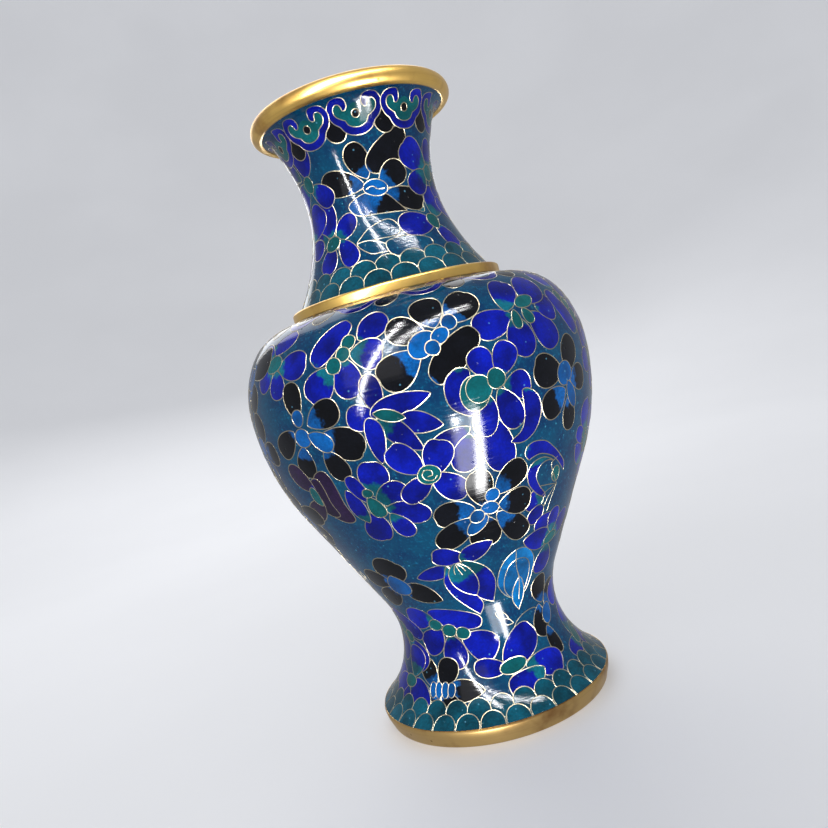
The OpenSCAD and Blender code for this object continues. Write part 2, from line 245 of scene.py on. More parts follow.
FLOWERS = {
    "five_petals": ("cobalt", [(6.7, -1.2, 9.5, 7, -5, "n"), (0, -5.6, 6.5, 6, -90),
        (1.2, 6.2, 10, 5.5, 20, "n"), (-6, 4, 8, 5.5, 150), (-6, -3, 7.5, 5.5, 210)],
        [(-1.5, 0.6, 7, 4.5, 10, "o")], []),
    "bead_band": ("cobalt", [(-3.1, 4.3, 14, 6, 40, "b"), (8.6, 5.9, 7.5, 7, 35),
        (7.1, -1.2, 7.5, 7, -20, "n"), (0.6, -6.2, 9, 7, -85), (-7.5, -6.2, 9.5, 7.5, 215, "n")],
        [(2.1, 3.1, 3.8, 3.8, 0, "o"), (0.4, 0.3, 3.8, 3.8, 0, "o"), (-2.5, -2, 4.2, 4.2, 0, "o")], []),
    "sky_loops": ("black", [(-7.2, 3.1, 8.5, 7, 150), (-0.4, 7.1, 8, 7.5, 95), (8.2, 6.2, 9.5, 8, 35, "n"),
        (3, -5.6, 16, 7, 35, "b"), (-11, -6, 11, 8, 205, "n")], [(-3.8, -1.4, 8, 6, 30, "o"),
        (3.9, 2.5, 4, 4, 0, "o"), (0.8, -0.3, 5, 3.8, 30, "o"), (-1.7, -2.8, 3.8, 3.8, 0, "o")], []),
    "two_drops": ("cobalt", [(-9.3, -2.7, 11, 7, 190), (-2.8, -8, 9.5, 8, -100, "n"),
        (6.2, -7.4, 10.5, 8, -60), (10.8, -1.5, 7, 7, -5), (-1.2, 5, 10, 7, 60, "n"), (8, 4.7, 10, 9, 35)],
        [(3.4, 1.3, 7, 3.5, 10, "o"), (-1.9, -3, 5.2, 3, -100), (2.2, -2.7, 4.6, 3.5, -75)], []),
    "wide_black": ("black", [(6.7, 2.2, 9.5, 6.5, 15), (9.5, -5.8, 12, 8, -20, "n"), (-2.2, 7.8, 8.5, 6, 95),
        (-9.7, -3.3, 9, 6, -150), (-4.7, -9.5, 8, 6, -110, "n"), (5.2, -11.4, 8, 6, -70)],
        [(-1.9, 2.8, 4.5, 4, 60, "o"), (-2.2, -2.4, 5.5, 5, 0, "o"), (3.3, -4, 8, 5, -35)], []),
    "pointed": ("cobalt", [(-5.4, 1.3, 7.5, 6, 165), (-1.1, 6.6, 9, 5, 95), (5.4, 2.4, 14, 5, 5, "p"),
        (8.9, -3.3, 9.5, 5, -20, "p"), (3.3, -5.2, 12, 5, -50, "p"), (-3.3, -5.5, 10.5, 4.4, -92, "p")],
        [(1.5, 0.3, 8, 3, -22, "l")], []),
    "two_discs": ("cobalt", [(0.9, 5.3, 6.8, 6.2, 110), (7.4, 5, 8, 6.2, 55), (9.9, -2.5, 6.8, 6.5, -10),
        (5.9, -7.9, 10, 6.5, -70), (-0.9, -8.2, 9, 6.2, -110)], [(-2.4, -1.7, 8.6, 7.6, 70, "o"),
        (-1.2, -0.9, 6.8, 6.8, 0, "o"), (3.8, 0.5, 5, 5, 0, "o")], [], [(0, [(10.4, -4), (13, -4.4),
        (15.2, -7), (15, -11), (12.4, -15), (8.4, -17), (4.8, -16), (8, -14), (9.6, -11), (10, -7.4)]), (0,
        [(-2.8, 4.4), (-5.6, 5.2), (-8.7, 3.2), (-9.7, -0.2), (-8.7, -3.9), (-4.8, -6.7), (-2.2, -6.4),
        (-5.1, -3.4), (-6.2, -1.1), (-4.8, 0.7), (-2.8, 2.5)])]),
    "two_sky": ("black", [(-7.5, 2.8, 9.5, 8, 165, "n"), (-6.3, -5.6, 9, 7, 205), (6.7, -1.2, 7.5, 6.5, 0),
        (0.2, -10.2, 8, 5.5, -90), (3.5, 6, 9, 7, 55)], [(-0.4, 0.9, 7, 6, 20, "o"),
        (1.8, -5, 8, 4, -70, "l")], []),
    "swirl": ("plum", [(2, -3, 17, 8, -90, "c", 120), (-1, -2.6, 13, 5.5, -90, "c", 110),
        (-5, 4.5, 9, 6, 130), (-5.6, -6, 9, 5.5, 215)], [(-2.6, -1.6, 6, 3.4, -90, "c", 80)], []),
    "heart_seed": ("cobalt", [(1.9, 6.6, 9, 7.5, 75, "n"), (5, 1, 8.5, 6.5, 15), (6.8, -5.2, 10, 6.5, -25),
        (3.2, -9.2, 7.5, 5, -75), (-3.7, -8.6, 9, 7, -105, "n"), (-6.2, -0.9, 11, 4.5, 100, "l"),
        (-3.7, 4.4, 8, 4, 110)], [(-1.1, -1.8, 7, 4.5, -80), (-1.5, 2.6, 3, 2.6, 0, "o")], []),
    "spiral": ("cobalt", [(-5, 5.3, 9.5, 6.5, 130, "n"), (3.3, 4.2, 8.5, 7, 60, "n"),
        (4.5, -4.8, 9.5, 6.5, -50, "n"), (-4, -3.6, 9, 5.5, 215)], [(0, -0.2, 5.8, 5.2, 0, "o")],
        [[(1.9, -0.9), (0.6, -1.9), (-1.2, -1.3), (-1.7, 0.2), (-0.6, 1.2), (0.8, 0.7), (0.7, -0.5),
        (-0.3, -0.6)]]),
    "three_loops": ("black", [(-8.8, 0, 9.5, 7, 178, "n"), (-8.6, -6.6, 11, 7, 210),
        (-0.7, -8.9, 8.5, 8, -95, "n"), (7.3, -9, 12, 6.5, -55), (8.9, -1.8, 8.5, 7.5, -8),
        (7.9, 6.3, 10, 7, 35), (-0.9, 5.8, 10, 6.5, 97)], [(-2.6, -5.4, 7, 4.2, 40, "o"),
        (2, 2.5, 4, 4, 0, "o"), (1.1, -1.2, 5, 3.8, -20, "o"), (-2.5, -2.8, 4, 4, 0, "o")], []),
    "hooked": ("cobalt", [(-3.8, -8.4, 6.5, 6, 205, "f"), (-2.6, -13.2, 6, 5, 215, "f"), (1, -17, 7, 5, 200)],
        [(3.2, -2.6, 5, 3.2, 100, "o")], [[(4.4, -6), (1, -5.2), (-2.4, -4.6)], [(4.4, -6), (0.8, -6.8),
        (-1.6, -8)], [(4.4, -6), (1.8, -8.6), (0.2, -11.4)], [(4.4, -6), (3, -9.6), (2, -13.4)], [(4.4, -6),
        (1.4, -1), (0.8, 1.2), (2.8, 2.4)]], [(0, [(-9.1, 6.3), (-8.8, 8.2), (-6.4, 9.2), (-2.5, 8.4),
        (0.4, 6.3), (3.7, 3.2), (6.4, 0), (6.9, -2.8), (6.9, -2.8), (4, 0.4), (0.7, 3.3), (-3.7, 5.2),
        (-6.7, 5), (-7.8, 4.6)]), (0, [(1.3, 1.9), (-2.5, 3.9), (-6.2, 3.5), (-7.9, 1.2), (-7.4, -1.6),
        (-6.1, -3.9), (-3, -7), (0, -8.8), (0, -8.8), (-0.3, -7.4), (-2.9, -4.4), (-4.7, -0.8), (-3.5, 1.9),
        (-1, 2.6)])]),
    "one_heart": ("black", [(1.5, 5, 10, 9, 60, "n"), (7.1, -5, 9, 7, -40, "p"), (-6, 2, 9, 6.5, 165),
        (-5, -5, 9, 6.5, 215)], [(0.9, -0.6, 8, 7, -90)], []),
    "tulip": ("cobalt", [(-2.8, 7, 8, 5.4, 160, "n"), (5.8, 6.9, 9, 5, 20, "p"), (-8, 2, 8.5, 4.4, 187, "p")],
        [], [[(-1, 3.8), (-0.6, 1.8), (0, 0)], [(-0.6, 3.9), (0.6, 2.2), (1, 1)], [(-1.3, 3.6), (-1.8, 1.8),
        (-1.8, 0.6)]], [(0.12, [(-3.2, 3.4), (-4.6, 1), (-5.3, -2.5), (-3.8, -7.5), (-1, -12), (1.8, -15.3),
        (1.8, -15.3), (3.3, -12.2), (2.2, -8.5), (0, -3)]), (0.3, [(0.6, 4.2), (4.4, 2.8), (7.4, -1),
        (8.1, -6), (6.2, -12.4), (6.2, -12.4), (3.8, -10.8), (2.2, -8.5), (1.5, -3)]), (0.48, [(-1.2, 4.2),
        (1.6, 2.4), (3.4, -1.6), (3.5, -5.4), (2.2, -8.7), (2.2, -8.7), (-1, -6.4), (-3.2, -2.8),
        (-3.4, 1.4)])]),
    "leaf": ("lake", [], [], [[(-0.5, 10.2), (-0.2, 5), (0.8, 1), (1.2, -3), (0.9, -6.5)]], [(0.3,
        [(-0.5, 10.5), (3.2, 9.8), (6, 5.6), (5.6, 0), (3.2, -5), (-1, -5.6), (-4.4, -2.4), (-5.9, 2),
        (-4.5, 7.6)]), (0.1, [(0.6, 7.2), (3.7, 5.6), (4.5, 1.5), (3, -4), (-0.8, -5.6), (-3.4, -2.4),
        (-3.8, 2), (-2.4, 6)]), (0.9, [(1.2, 0.6), (2.7, -3), (2.4, -6.5), (0.5, -9.8), (0.5, -9.8),
        (-1.1, -6.5), (-0.8, -2.5)])]),
    "hanging": ("cobalt", [(-6, -1.5, 10, 5.5, 200), (-2.5, -6, 8.5, 6.5, 250), (6, -5.5, 14.5, 8, -80, "n")],
        [], []),
    "small_disc": ("cobalt", [(-5.6, 2.2, 10, 6, 165, "p"), (-0.4, -6.4, 8, 7, -95), (6, 3.5, 9, 6, 40),
        (1, 6.5, 7, 5, 90)], [(1.2, 0.4, 6, 3.6, 10, "o")], []),
    "under_band": ("cobalt", [(2, 1.6, 15, 5.5, -20, "b"), (-6.6, -4.9, 8, 6.5, 220, "n"),
        (-0.4, -8.6, 8.5, 6.5, -90), (7.6, -7.4, 9.5, 7.5, -35), (-9.1, 2.8, 8, 7, 170)],
        [(-4.1, 0.2, 4, 3.6, 0, "o"), (-0.4, -1.9, 4.2, 3.8, 0, "o"), (3.2, -3.2, 4, 3.6, 0, "o")], []),
    "small_black": ("black", [(-1.5, 6.5, 8, 6, 100), (-2.8, -3.6, 8, 5.5, -100), (-0.9, -10, 7, 4.5, -90),
        (4.5, 3, 8, 6, 40)], [(0.9, -2.2, 6, 4.4, 60, "o")], []),
    "lobed_heart": ("cobalt", [(2.9, 4.8, 12.5, 8.2, 33, "n"), (9.2, -2.4, 11.5, 6.6, -14, "n"),
        (1, -4.8, 11, 6.2, 192), (-7.6, 1.4, 8, 4.8, 170)], [(-1, 0.4, 8, 4, 5, "o")], []),
    "four_blocks": ("black", [(2, 3.7, 7.5, 6, 70), (-4.5, 3.7, 7.5, 5.5, 120), (-9.4, -1.9, 8, 4.8, 185),
        (7.9, -1.7, 10, 5.5, -5, "p"), (-3.5, -5.5, 7, 5, 230), (3.4, -5.4, 7, 5, -50)],
        [(-2.9, -1.2, 4.2, 2.4, 90, "o"), (-0.9, -1.2, 4.4, 2.4, 90, "o"), (1.2, -1.2, 4.4, 2.4, 90, "o"),
        (3.2, -1.2, 4, 2.4, 90, "o")], []),
    "neck_black": ("black", [(-2.9, 8.4, 9, 6, 105), (6.4, 9.2, 16, 7, 35, "c", 35), (6.1, 2.9, 8.2, 6.4, 28),
        (8.5, -4.2, 11, 6, -22, "n"), (-9.4, 3.6, 12, 6.4, 162, "n")], [(0.2, 0.1, 6.8, 4.5, -14, "o")],
        [[(-2.4, 0.3), (-0.7, 0.7), (0.7, -0.4), (2.4, -0.5)]], [(0.2, [(0, -1), (-4, -0.8), (-8.1, -2.5),
        (-7.9, -4.8), (-5.3, -6.6), (0.9, -7.3), (7.3, -7.9), (7.3, -7.9), (5.5, -5.6), (2.9, -2.4)])]),
    "neck_blue": ("cobalt", [(3.4, 2.6, 7.5, 5.5, 45), (4, -5.2, 9, 5, -60), (-3.4, 6.8, 9.5, 8, 108, "n"),
        (-8, 0.8, 8, 6, 178), (-3, -6, 7, 6, -110)], [(-1.5, -0.9, 5.4, 4.2, 10, "o")], []),
    "neck_leaf": ("ground", [], [], [], [(0, [(-6.1, -0.4), (-4.4, 1.6), (-1.6, 3.5), (3.6, 4.7), (6.2, 2.1),
        (5.1, -0.5), (-1.1, -0.4)]), (0, [(-6.1, -0.4), (-2.6, -0.2), (1.6, -2.4), (3.8, -4.6), (-1.8, -4.6),
        (-4.4, -3)]), (0, [(1.6, -2.4), (4.3, -1.3), (9, -1.6), (14.3, -3.4), (14.4, -6), (9.2, -7.9),
        (3, -6.4)])]),
    "sprig": ("ground", [(-0.3, 4.9, 4.4, 1.8, -42, "l"), (0.9, 2.8, 3.6, 1.5, -30, "l"),
        (6.6, -0.4, 9, 6.4, 215, "n")], [], []),
    "neck_side": ("cobalt", [(-3.6, -0.5, 10, 7, 180), (6.7, 6, 9, 7.5, 55), (5.4, -6, 8.5, 5.4, -60),
        (-1, 7.2, 7, 5, 110)], [(2.6, -0.4, 5, 4.4, 90)], []),
}

# Where each flower sits: name, degrees round the vase from the front, height, turn
NECK_PLACES = [
    ("neck_side", 38, 140, 0), ("neck_blue", -35, 141, 0), ("neck_leaf", -2, 138, 0),
    ("neck_black", 5, 151.5, 0), ("neck_blue", 66, 156, 40), ("neck_black", 122, 151, 15),
    ("neck_side", 92, 140, 200), ("neck_leaf", 132, 137, 180), ("neck_blue", 170, 143, 90),
    ("neck_side", 180, 158, 150), ("neck_black", 238, 151, -20), ("neck_side", 212, 140, 170),
    ("neck_leaf", 250, 137.5, 10), ("neck_blue", 290, 142, -60), ("neck_side", 297, 158, 20),
]
BODY_PLACES = [
    ("five_petals", -46, 111, 0), ("bead_band", -20, 109, 0), ("two_drops", 36, 110, 0),
    ("sky_loops", 8, 108, 0), ("wide_black", -37, 94, 0), ("pointed", -12, 92, 0), ("two_sky", 48, 90, 0),
    ("hanging", 11, 84, 0), ("two_discs", 17, 94, 0), ("swirl", -43, 77, 0), ("heart_seed", -23, 72, 0),
    ("spiral", -4, 76, 0), ("hooked", 39, 68, 0), ("three_loops", 12, 64, 0), ("one_heart", -40, 46, 0),
    ("leaf", 26, 39, 0), ("small_disc", 47, 47, 0), ("tulip", -3, 46, 0), ("under_band", -21, 31, 0),
    ("sprig", 15, 25, 0), ("small_black", 50, 27, 0), ("lobed_heart", 15, 16, 0),
    ("four_blocks", -34, 14.5, 0), ("bead_band", 64, 108, 70), ("five_petals", 90, 111, 200),
    ("sky_loops", 116, 108, 25), ("two_drops", 146, 110, 180), ("bead_band", 174, 108, 150),
    ("wide_black", 204, 110, 40), ("five_petals", 233, 110, 60), ("two_drops", 260, 109, -30),
    ("sky_loops", 288, 109, 170), ("two_discs", 76, 90, 130), ("pointed", 103, 92, 60),
    ("two_sky", 130, 91, 30), ("spiral", 155, 93, 80), ("three_loops", 182, 89, 100),
    ("two_discs", 212, 91, -60), ("pointed", 238, 92, 200), ("heart_seed", 265, 90, 120),
    ("two_sky", 292, 90, 0), ("heart_seed", 66, 72, 40), ("three_loops", 96, 72, 160),
    ("spiral", 122, 74, 10), ("hooked", 152, 74, 180), ("pointed", 176, 68, 240), ("wide_black", 206, 70, 90),
    ("heart_seed", 234, 72, 220), ("spiral", 258, 74, 30), ("three_loops", 286, 68, 60),
    ("one_heart", 80, 50, 150), ("tulip", 112, 51, 30), ("small_disc", 142, 50, 90), ("leaf", 165, 44, 20),
    ("one_heart", 196, 48, 60), ("tulip", 228, 50, -20), ("small_disc", 258, 50, 40), ("leaf", 285, 46, -15),
    ("under_band", 90, 31, 30), ("small_black", 132, 31, 60), ("small_disc", 176, 29, 140),
    ("under_band", 215, 31, 170), ("small_black", 258, 31, 100), ("under_band", 295, 31, -20),
    ("lobed_heart", 78, 14.5, 30), ("four_blocks", 122, 15, 20), ("lobed_heart", 168, 15, 190),
    ("four_blocks", 212, 15, -15), ("lobed_heart", 256, 15, 10), ("small_disc", 300, 14.5, 170),
]

# Cloud head about its dot: outer line from the end of the right curl to the notch, then to the chin; inner likewise
CLOUD_LOBE = [(2.5, 1.2), (1.95, 2.1), (2.15, 3.5), (3.1, 4.6), (4.5, 4.95), (6.1, 4.3), (7.2, 2.6), (7.1, 0.8),
              (6.1, -1.1), (4.6, -2.4)]
CLOUD_CHIN = [(4.6, -2.4), (3.5, -4.0), (1.8, -5.0), (0, -5.25), (-1.8, -5.0), (-3.5, -4.0), (-4.6, -2.4)]
CLOUD_CURL = [(2.5, 1.2), (3.2, 1.25), (3.45, 2.1), (4.0, 2.9), (4.9, 2.95), (5.6, 2.2), (5.55, 1.0), (4.9, 0.0),
              (3.9, -0.7), (3.0, -1.2)]
CLOUD_BOWL = [(-3.0, -1.2), (-2.4, -2.4), (-1.2, -3.1), (0, -3.3), (1.2, -3.1), (2.4, -2.4), (3.0, -1.2)]
CLOUD_PITCH = 14.9
DOT_R, DROP_R, DROP_Y = 1.05, 2.75, -3.0
NECK_HEADS, SHOULDER_HEADS = 10, 14
NECK_HEAD_Z, SHOULDER_HEAD_Z = 170.8, 121.2
NECK_HEAD_SIZE = 1.05
NECK_SCALES, FOOT_SCALES = 23, 30
LOWER_TOP = 61      # flowers above this height belong to the upper wires


class Cells:
    """The cells of one wall: outlines of (angle, v) with a colour, a zone, and a line where the colour fades.

    A later cell lies over an earlier one where they meet. Soft cells meet the ground and each other with no wire.
    """

    def __init__(self, wall):
        self.wall, self.list, self.loose = wall, [], []

    def local(self, az0, v0, points):
        """From millimetres about a place on the wall to (angle, v)."""
        v = np.clip(v0 + points[:, 1], -4, self.wall.length + 4)
        return np.stack([math.radians(az0) + points[:, 0] / self.wall.radius(v), v], 1)

    def add(self, az0, v0, points, colour, zone, fade=None, reach=0.0, soft=False):
        """fade: a point and a direction in millimetres; the colour changes reach millimetres along it."""
        self.list.append(dict(line=self.local(az0, v0, points), colour=colour, zone=zone, fade=fade, reach=reach,
                              az0=math.radians(az0), v0=v0, soft=soft, shade=rng.uniform()))

    def wire(self, az0, v0, points, zone):
        self.loose.append((self.local(az0, v0, spline(points + [points[-1]], 2.2)), zone))


# How much of a petal's length, from its base, takes the lighter colour
BASE_SHARE = {"cobalt": (0.0, 0.4), "black": (0.08, 0.42), "plum": (0.0, 0.4), "sky": (-0.2, 0.1),
              "lake": (0.2, 0.6), "ground": (0, 0)}
HEART_OF = {"lake": "sky", "cobalt": "jade", "black": "sky", "plum": "jade", "sky": "sky", "ground": "jade"}


def plant(cells, name, az, z, turn, zone):
    colour, petals, hearts, wires, *free = FLOWERS[name]
    v0 = cells.wall.v_at(z)

    def oval(x, y, length, width, direction, kind="r", bow=0, petal=False):
        if petal and kind in "rnp":
            inward = heading(90 - direction)
            x, y, length = x - inward[0] * PULL / 2, y - inward[1] * PULL / 2, length + PULL
        full = PETAL_FULL if petal else (1, 1)
        outline = petal_outline(length * full[0], width * full[1], kind, bow)
        outline = turned(turned(outline, direction, (x, y)), turn)
        along = heading(90 - direction - turn)
        base = turned(np.array([[x, y]]), turn)[0] - along * length / 2
        if petal:
            share = rng.uniform(*BASE_SHARE[colour]) * (kind not in "bc")
            cells.add(az, v0, outline, colour, zone, (base, along), share * length)
        else:
            cells.add(az, v0, outline, HEART_OF[colour], zone, (base, along), -length)

    for petal in petals:
        oval(*petal, petal=True)
    for share, points in free[0] if free else []:
        outline = turned(closed_spline(points), turn)
        reach = outline[np.argmax(np.hypot(*(outline - outline[0]).T))] - outline[0]
        length = np.hypot(*reach)
        cells.add(az, v0, outline, colour, zone, (outline[0], reach / length), share * length)
    for heart in hearts:
        oval(*heart)
    for points in wires:
        cells.wire(az, v0, [tuple(p) for p in turned(np.array(points, float), turn)], zone)


def circle(r, steps=20, centre=(0, 0), stretch=1.0):
    a = np.linspace(0, 2 * np.pi, steps, endpoint=False)
    return np.stack([centre[0] + r * np.cos(a), centre[1] + r * stretch * np.sin(a)], 1)


def cloud_heads(cells, count, v0, size, heart, first_az):
    half_pitch = math.pi * float(cells.wall.radius(v0)) / count
    band = loop(CLOUD_LOBE, CLOUD_CHIN, mirrored(CLOUD_LOBE), mirrored(CLOUD_CURL)[::-1],
                CLOUD_BOWL, CLOUD_CURL[::-1])
    inside = loop(CLOUD_CURL, CLOUD_BOWL[::-1], mirrored(CLOUD_CURL), [(-2.5, 1.2), (0, 2.6), (2.5, 1.2)])
    places = [first_az + 360 * i / count for i in range(count)]
    for az in places:
        cells.add(az, v0, size * circle(DROP_R, 24, (half_pitch / size, DROP_Y), 1.05), "black", "cloud")
    for az in places:
        cells.add(az, v0, size * inside, heart, "cloud", soft=True)
        cells.add(az, v0, size * band, "cobalt", "cloud")
        cells.add(az, v0, size * circle(DOT_R), "black", "cloud")


def scale_rows(cells, count, heights, at, height):
    """Rows of arches that fill the wall at v = at, the lowest row last so that it lies over the one above."""
    half = math.pi * cells.wall.radius(at) / count
    arch = [(half * math.cos(a), height * math.sin(a)) for a in np.linspace(0, math.pi, 14)]
    arch += [(-half, -height * 0.7), (half, -height * 0.7)]
    for k, v0 in enumerate(heights):
        for i in range(count):
            cells.add(360 * (i + (k % 2) / 2) / count, v0, np.array(arch), "scale", "scale")


neck_cells = Cells(neck)
for place in NECK_PLACES:
    plant(neck_cells, *place, "flower")
cloud_heads(neck_cells, NECK_HEADS, neck.v_at(NECK_HEAD_Z), NECK_HEAD_SIZE, "jade", 4.0)
scale_rows(neck_cells, NECK_SCALES, [5.2, 1.4], 1.0, 3.6)

body_cells = Cells(body)
for place in BODY_PLACES:
    plant(body_cells, *place, "upper" if place[2] > LOWER_TOP else "lower")
shoulder_v = body.v_at(SHOULDER_HEAD_Z)
shoulder_size = 2 * math.pi * body.radius(shoulder_v) / SHOULDER_HEADS / CLOUD_PITCH
cloud_heads(body_cells, SHOULDER_HEADS, shoulder_v, shoulder_size, "ground", 10.0)
scale_rows(body_cells, FOOT_SCALES, [4.6, 0.8], 3.0, 3.7)

# ---- One flat layout of a wall's cells, cut into triangles that share their edges ----

GRID = 1.7          # spacing of the points inside cells
ON_SEAM = 1e-3


def triangulate(cells):
    """The (angle, v) of each vertex, the triangles, and the cell that owns each triangle (-1 for ground)."""
    wall = cells.wall
    ref = float(np.median(wall.r))
    half = math.pi * ref
    verts, edges = [], []

    def add_loop(points):
        start = len(verts)
        verts.extend(Vector(p) for p in points)
        edges.extend((start + i, start + (i + 1) % len(points)) for i in range(len(points)))

    rows = np.linspace(0, wall.length, max(2, int(wall.length / GRID)) + 1)
    left = [(-half, v) for v in rows]
    right = [(half, v) for v in rows[::-1]]
    around = np.linspace(-half, half, int(2 * half / GRID))[1:-1]
    add_loop([(x, 0.0) for x in around] + right[::-1] + [(x, wall.length) for x in around[::-1]] + left[::-1])
    outlines = []
    for cell in cells.list:
        x, y = cell["line"].T
        x = x - 2 * math.pi * round(float(x.mean()) / (2 * math.pi))
        flat = np.stack([x * ref, y], 1)
        copies = [flat]
        if flat[:, 0].max() > half:
            copies.append(flat - [2 * half, 0])
        if flat[:, 0].min() < -half:
            copies.append(flat + [2 * half, 0])
        outlines.append(copies)
        for copy in copies:
            add_loop(copy)
    for k, v in enumerate(rows[1:-1]):
        n = max(8, int(round(2 * math.pi * float(wall.radius(v)) / GRID)))
        for i in range(1, n):
            verts.append(Vector((-half + 2 * half * (i + 0.5 * (k % 2)) / n, v)))
    co, _, faces, *_ = delaunay_2d_cdt(verts, edges, [], 0, 1e-4)
    co = np.array([tuple(c) for c in co])
    tris = np.array([f for f in faces if len(f) == 3])
    mid = co[tris].mean(1)
    a, b, c = co[tris[:, 0]], co[tris[:, 1]], co[tris[:, 2]]
    area = np.abs((b[:, 0] - a[:, 0]) * (c[:, 1] - a[:, 1]) - (b[:, 1] - a[:, 1]) * (c[:, 0] - a[:, 0]))
    keep = (np.abs(mid[:, 0]) < half) & (mid[:, 1] > 0) & (mid[:, 1] < wall.length) & (area > 1e-9)
    tris, mid = tris[keep], mid[keep]
    owner = np.full(len(tris), -1)
    for k, copies in enumerate(outlines):
        for line in copies:
            near = np.where((mid[:, 0] > line[:, 0].min()) & (mid[:, 0] < line[:, 0].max())
                            & (mid[:, 1] > line[:, 1].min()) & (mid[:, 1] < line[:, 1].max()))[0]
            x, y = mid[near, 0][:, None], mid[near, 1][:, None]
            p, q = line, np.roll(line, -1, 0)
            spans = (p[:, 1] > y) != (q[:, 1] > y)
            with np.errstate(divide="ignore", invalid="ignore"):
                cut = p[:, 0] + (y - p[:, 1]) * (q[:, 0] - p[:, 0]) / (q[:, 1] - p[:, 1])
            owner[near[(spans & (x < cut)).sum(1) % 2 == 1]] = k
    # Sew the seam: a vertex on the right edge becomes its twin on the left
    on_left = np.where(np.abs(co[:, 0] + half) < ON_SEAM)[0]
    on_right = np.where(np.abs(co[:, 0] - half) < ON_SEAM)[0]
    twin = np.arange(len(co))
    for i in on_right:
        twin[i] = on_left[np.argmin(np.abs(co[on_left, 1] - co[i, 1]))]
    tris = twin[tris]
    whole = (tris[:, 0] != tris[:, 1]) & (tris[:, 1] != tris[:, 2]) & (tris[:, 2] != tris[:, 0])
    tris, owner = tris[whole], owner[whole]
    used, tris = np.unique(tris, return_inverse=True)
    tris = tris.reshape(-1, 3)
    return np.stack([co[used, 0] / ref, co[used, 1]], 1), tris, owner


def soft_pair(cells, a, b):
    """True where two neighbouring cells meet with no wire between them."""
    return all(k < 0 or cells.list[k]["soft"] for k in (a, b))


def wire_chains(cells, tris, owner):
    """Chains of vertices along the edges between cells, by zone."""
    sides = {}
    for t, tri in enumerate(tris.tolist()):
        for i in range(3):
            a, b = tri[i], tri[(i + 1) % 3]
            sides.setdefault((a, b) if a < b else (b, a), []).append(owner[t])
    links = {}
    for (a, b), own in sides.items():
        if len(own) == 2 and own[0] != own[1] and not soft_pair(cells, own[0], own[1]):
            zone = cells.list[max(own)]["zone"]
            net = links.setdefault(zone, {})
            net.setdefault(a, []).append(b)
            net.setdefault(b, []).append(a)
    chains = {}
    for zone, net in links.items():
        seen, out = set(), []

        def walk(a, b):
            chain = [a, b]
            seen.update({(a, b), (b, a)})
            while len(net[b]) == 2:
                c = net[b][0] if net[b][0] != a else net[b][1]
                if (b, c) in seen:
                    break
                seen.update({(b, c), (c, b)})
                chain.append(c)
                a, b = b, c
            return chain

        for a in sorted(net):
            if len(net[a]) != 2:
                out += [walk(a, b) for b in net[a] if (a, b) not in seen]
        for a in sorted(net):
            out += [walk(a, b) for b in net[a] if (a, b) not in seen]
        chains[zone] = out
    return chains


# ---- Meshes ----


def new_piece(name, verts, faces, material):
    mesh = bpy.data.meshes.new(name)
    mesh.from_pydata([tuple(v) for v in np.asarray(verts) * MM], [], faces)
    mesh.materials.append(material)
    mesh.polygons.foreach_set("use_smooth", [True] * len(mesh.polygons))
    obj = bpy.data.objects.new(name, mesh)
    bpy.context.scene.collection.objects.link(obj)
    return obj


def enter(piece, slot, *nodes):
    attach(piece, "root")
    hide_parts(*nodes)
    return piece


OFF_COPPER = 0.02   # how far the enamel here stays off the copper
NO_FADE = 3.0       # the fade value, in millimetres, of a corner far from any change of colour


def inlay(name, cells, co, tris, owner, material):
    """A closed solid of enamel: the cells' faces on top, the same faces below, and walls along every edge."""
    wall = cells.wall
    used, local = np.unique(tris, return_inverse=True)
    local = local.reshape(-1, 3)
    az, v = co[used].T
    top, under, normal = wall.point(az, v, GLAZE), wall.point(az, v, ENAMEL_T - OFF_COPPER), wall.normal(az, v)
    # Triangles run anticlockwise seen from outside
    a, b, c = top[local[:, 0]], top[local[:, 1]], top[local[:, 2]]
    flip = (np.cross(b - a, c - a) * normal[local[:, 0]]).sum(1) < 0
    local[flip] = local[flip][:, ::-1]
    n = len(used)
    edges = {(tri[i], tri[(i + 1) % 3]): None for tri in local.tolist() for i in range(3)}
    rim = [(p, q) for p, q in edges if (q, p) not in edges]
    faces = local.tolist() + (local[:, ::-1] + n).tolist() + [[q, p, p + n, q + n] for p, q in rim]
    piece = new_piece(name, np.concatenate([top, under]), faces, material)
    mesh = piece.data
    side = np.zeros((len(rim) * 4, 3))
    for k, (p, q) in enumerate(rim):
        w = np.cross(top[p] - top[q], normal[p])
        side[4 * k:4 * k + 4] = w / (np.linalg.norm(w) + 1e-12)
    loops = np.concatenate([normal[local.ravel()], -normal[local[:, ::-1].ravel()], side])
    mesh.normals_split_custom_set(loops)
    fade = np.full(len(loops), NO_FADE)
    shade = np.full(len(loops), 0.5)
    tri_az, tri_v = az[local], v[local]
    for k in np.unique(owner[owner >= 0]):
        cell = cells.list[k]
        mine = np.where(owner == k)[0]
        at = mine[:, None] * 3 + np.arange(3)
        shade[at] = cell["shade"]
        if cell["fade"] is not None:
            x = (tri_az[mine] - cell["az0"] + math.pi) % (2 * math.pi) - math.pi
            x, y = x * wall.radius(tri_v[mine]), tri_v[mine] - cell["v0"]
            base, along = cell["fade"]
            fade[at] = (x - base[0]) * along[0] + (y - base[1]) * along[1] - cell["reach"]
    for label, data in (("fade", fade), ("shade", shade)):
        mesh.attributes.new(label, "FLOAT", "CORNER").data.foreach_set("value", data)
    return piece


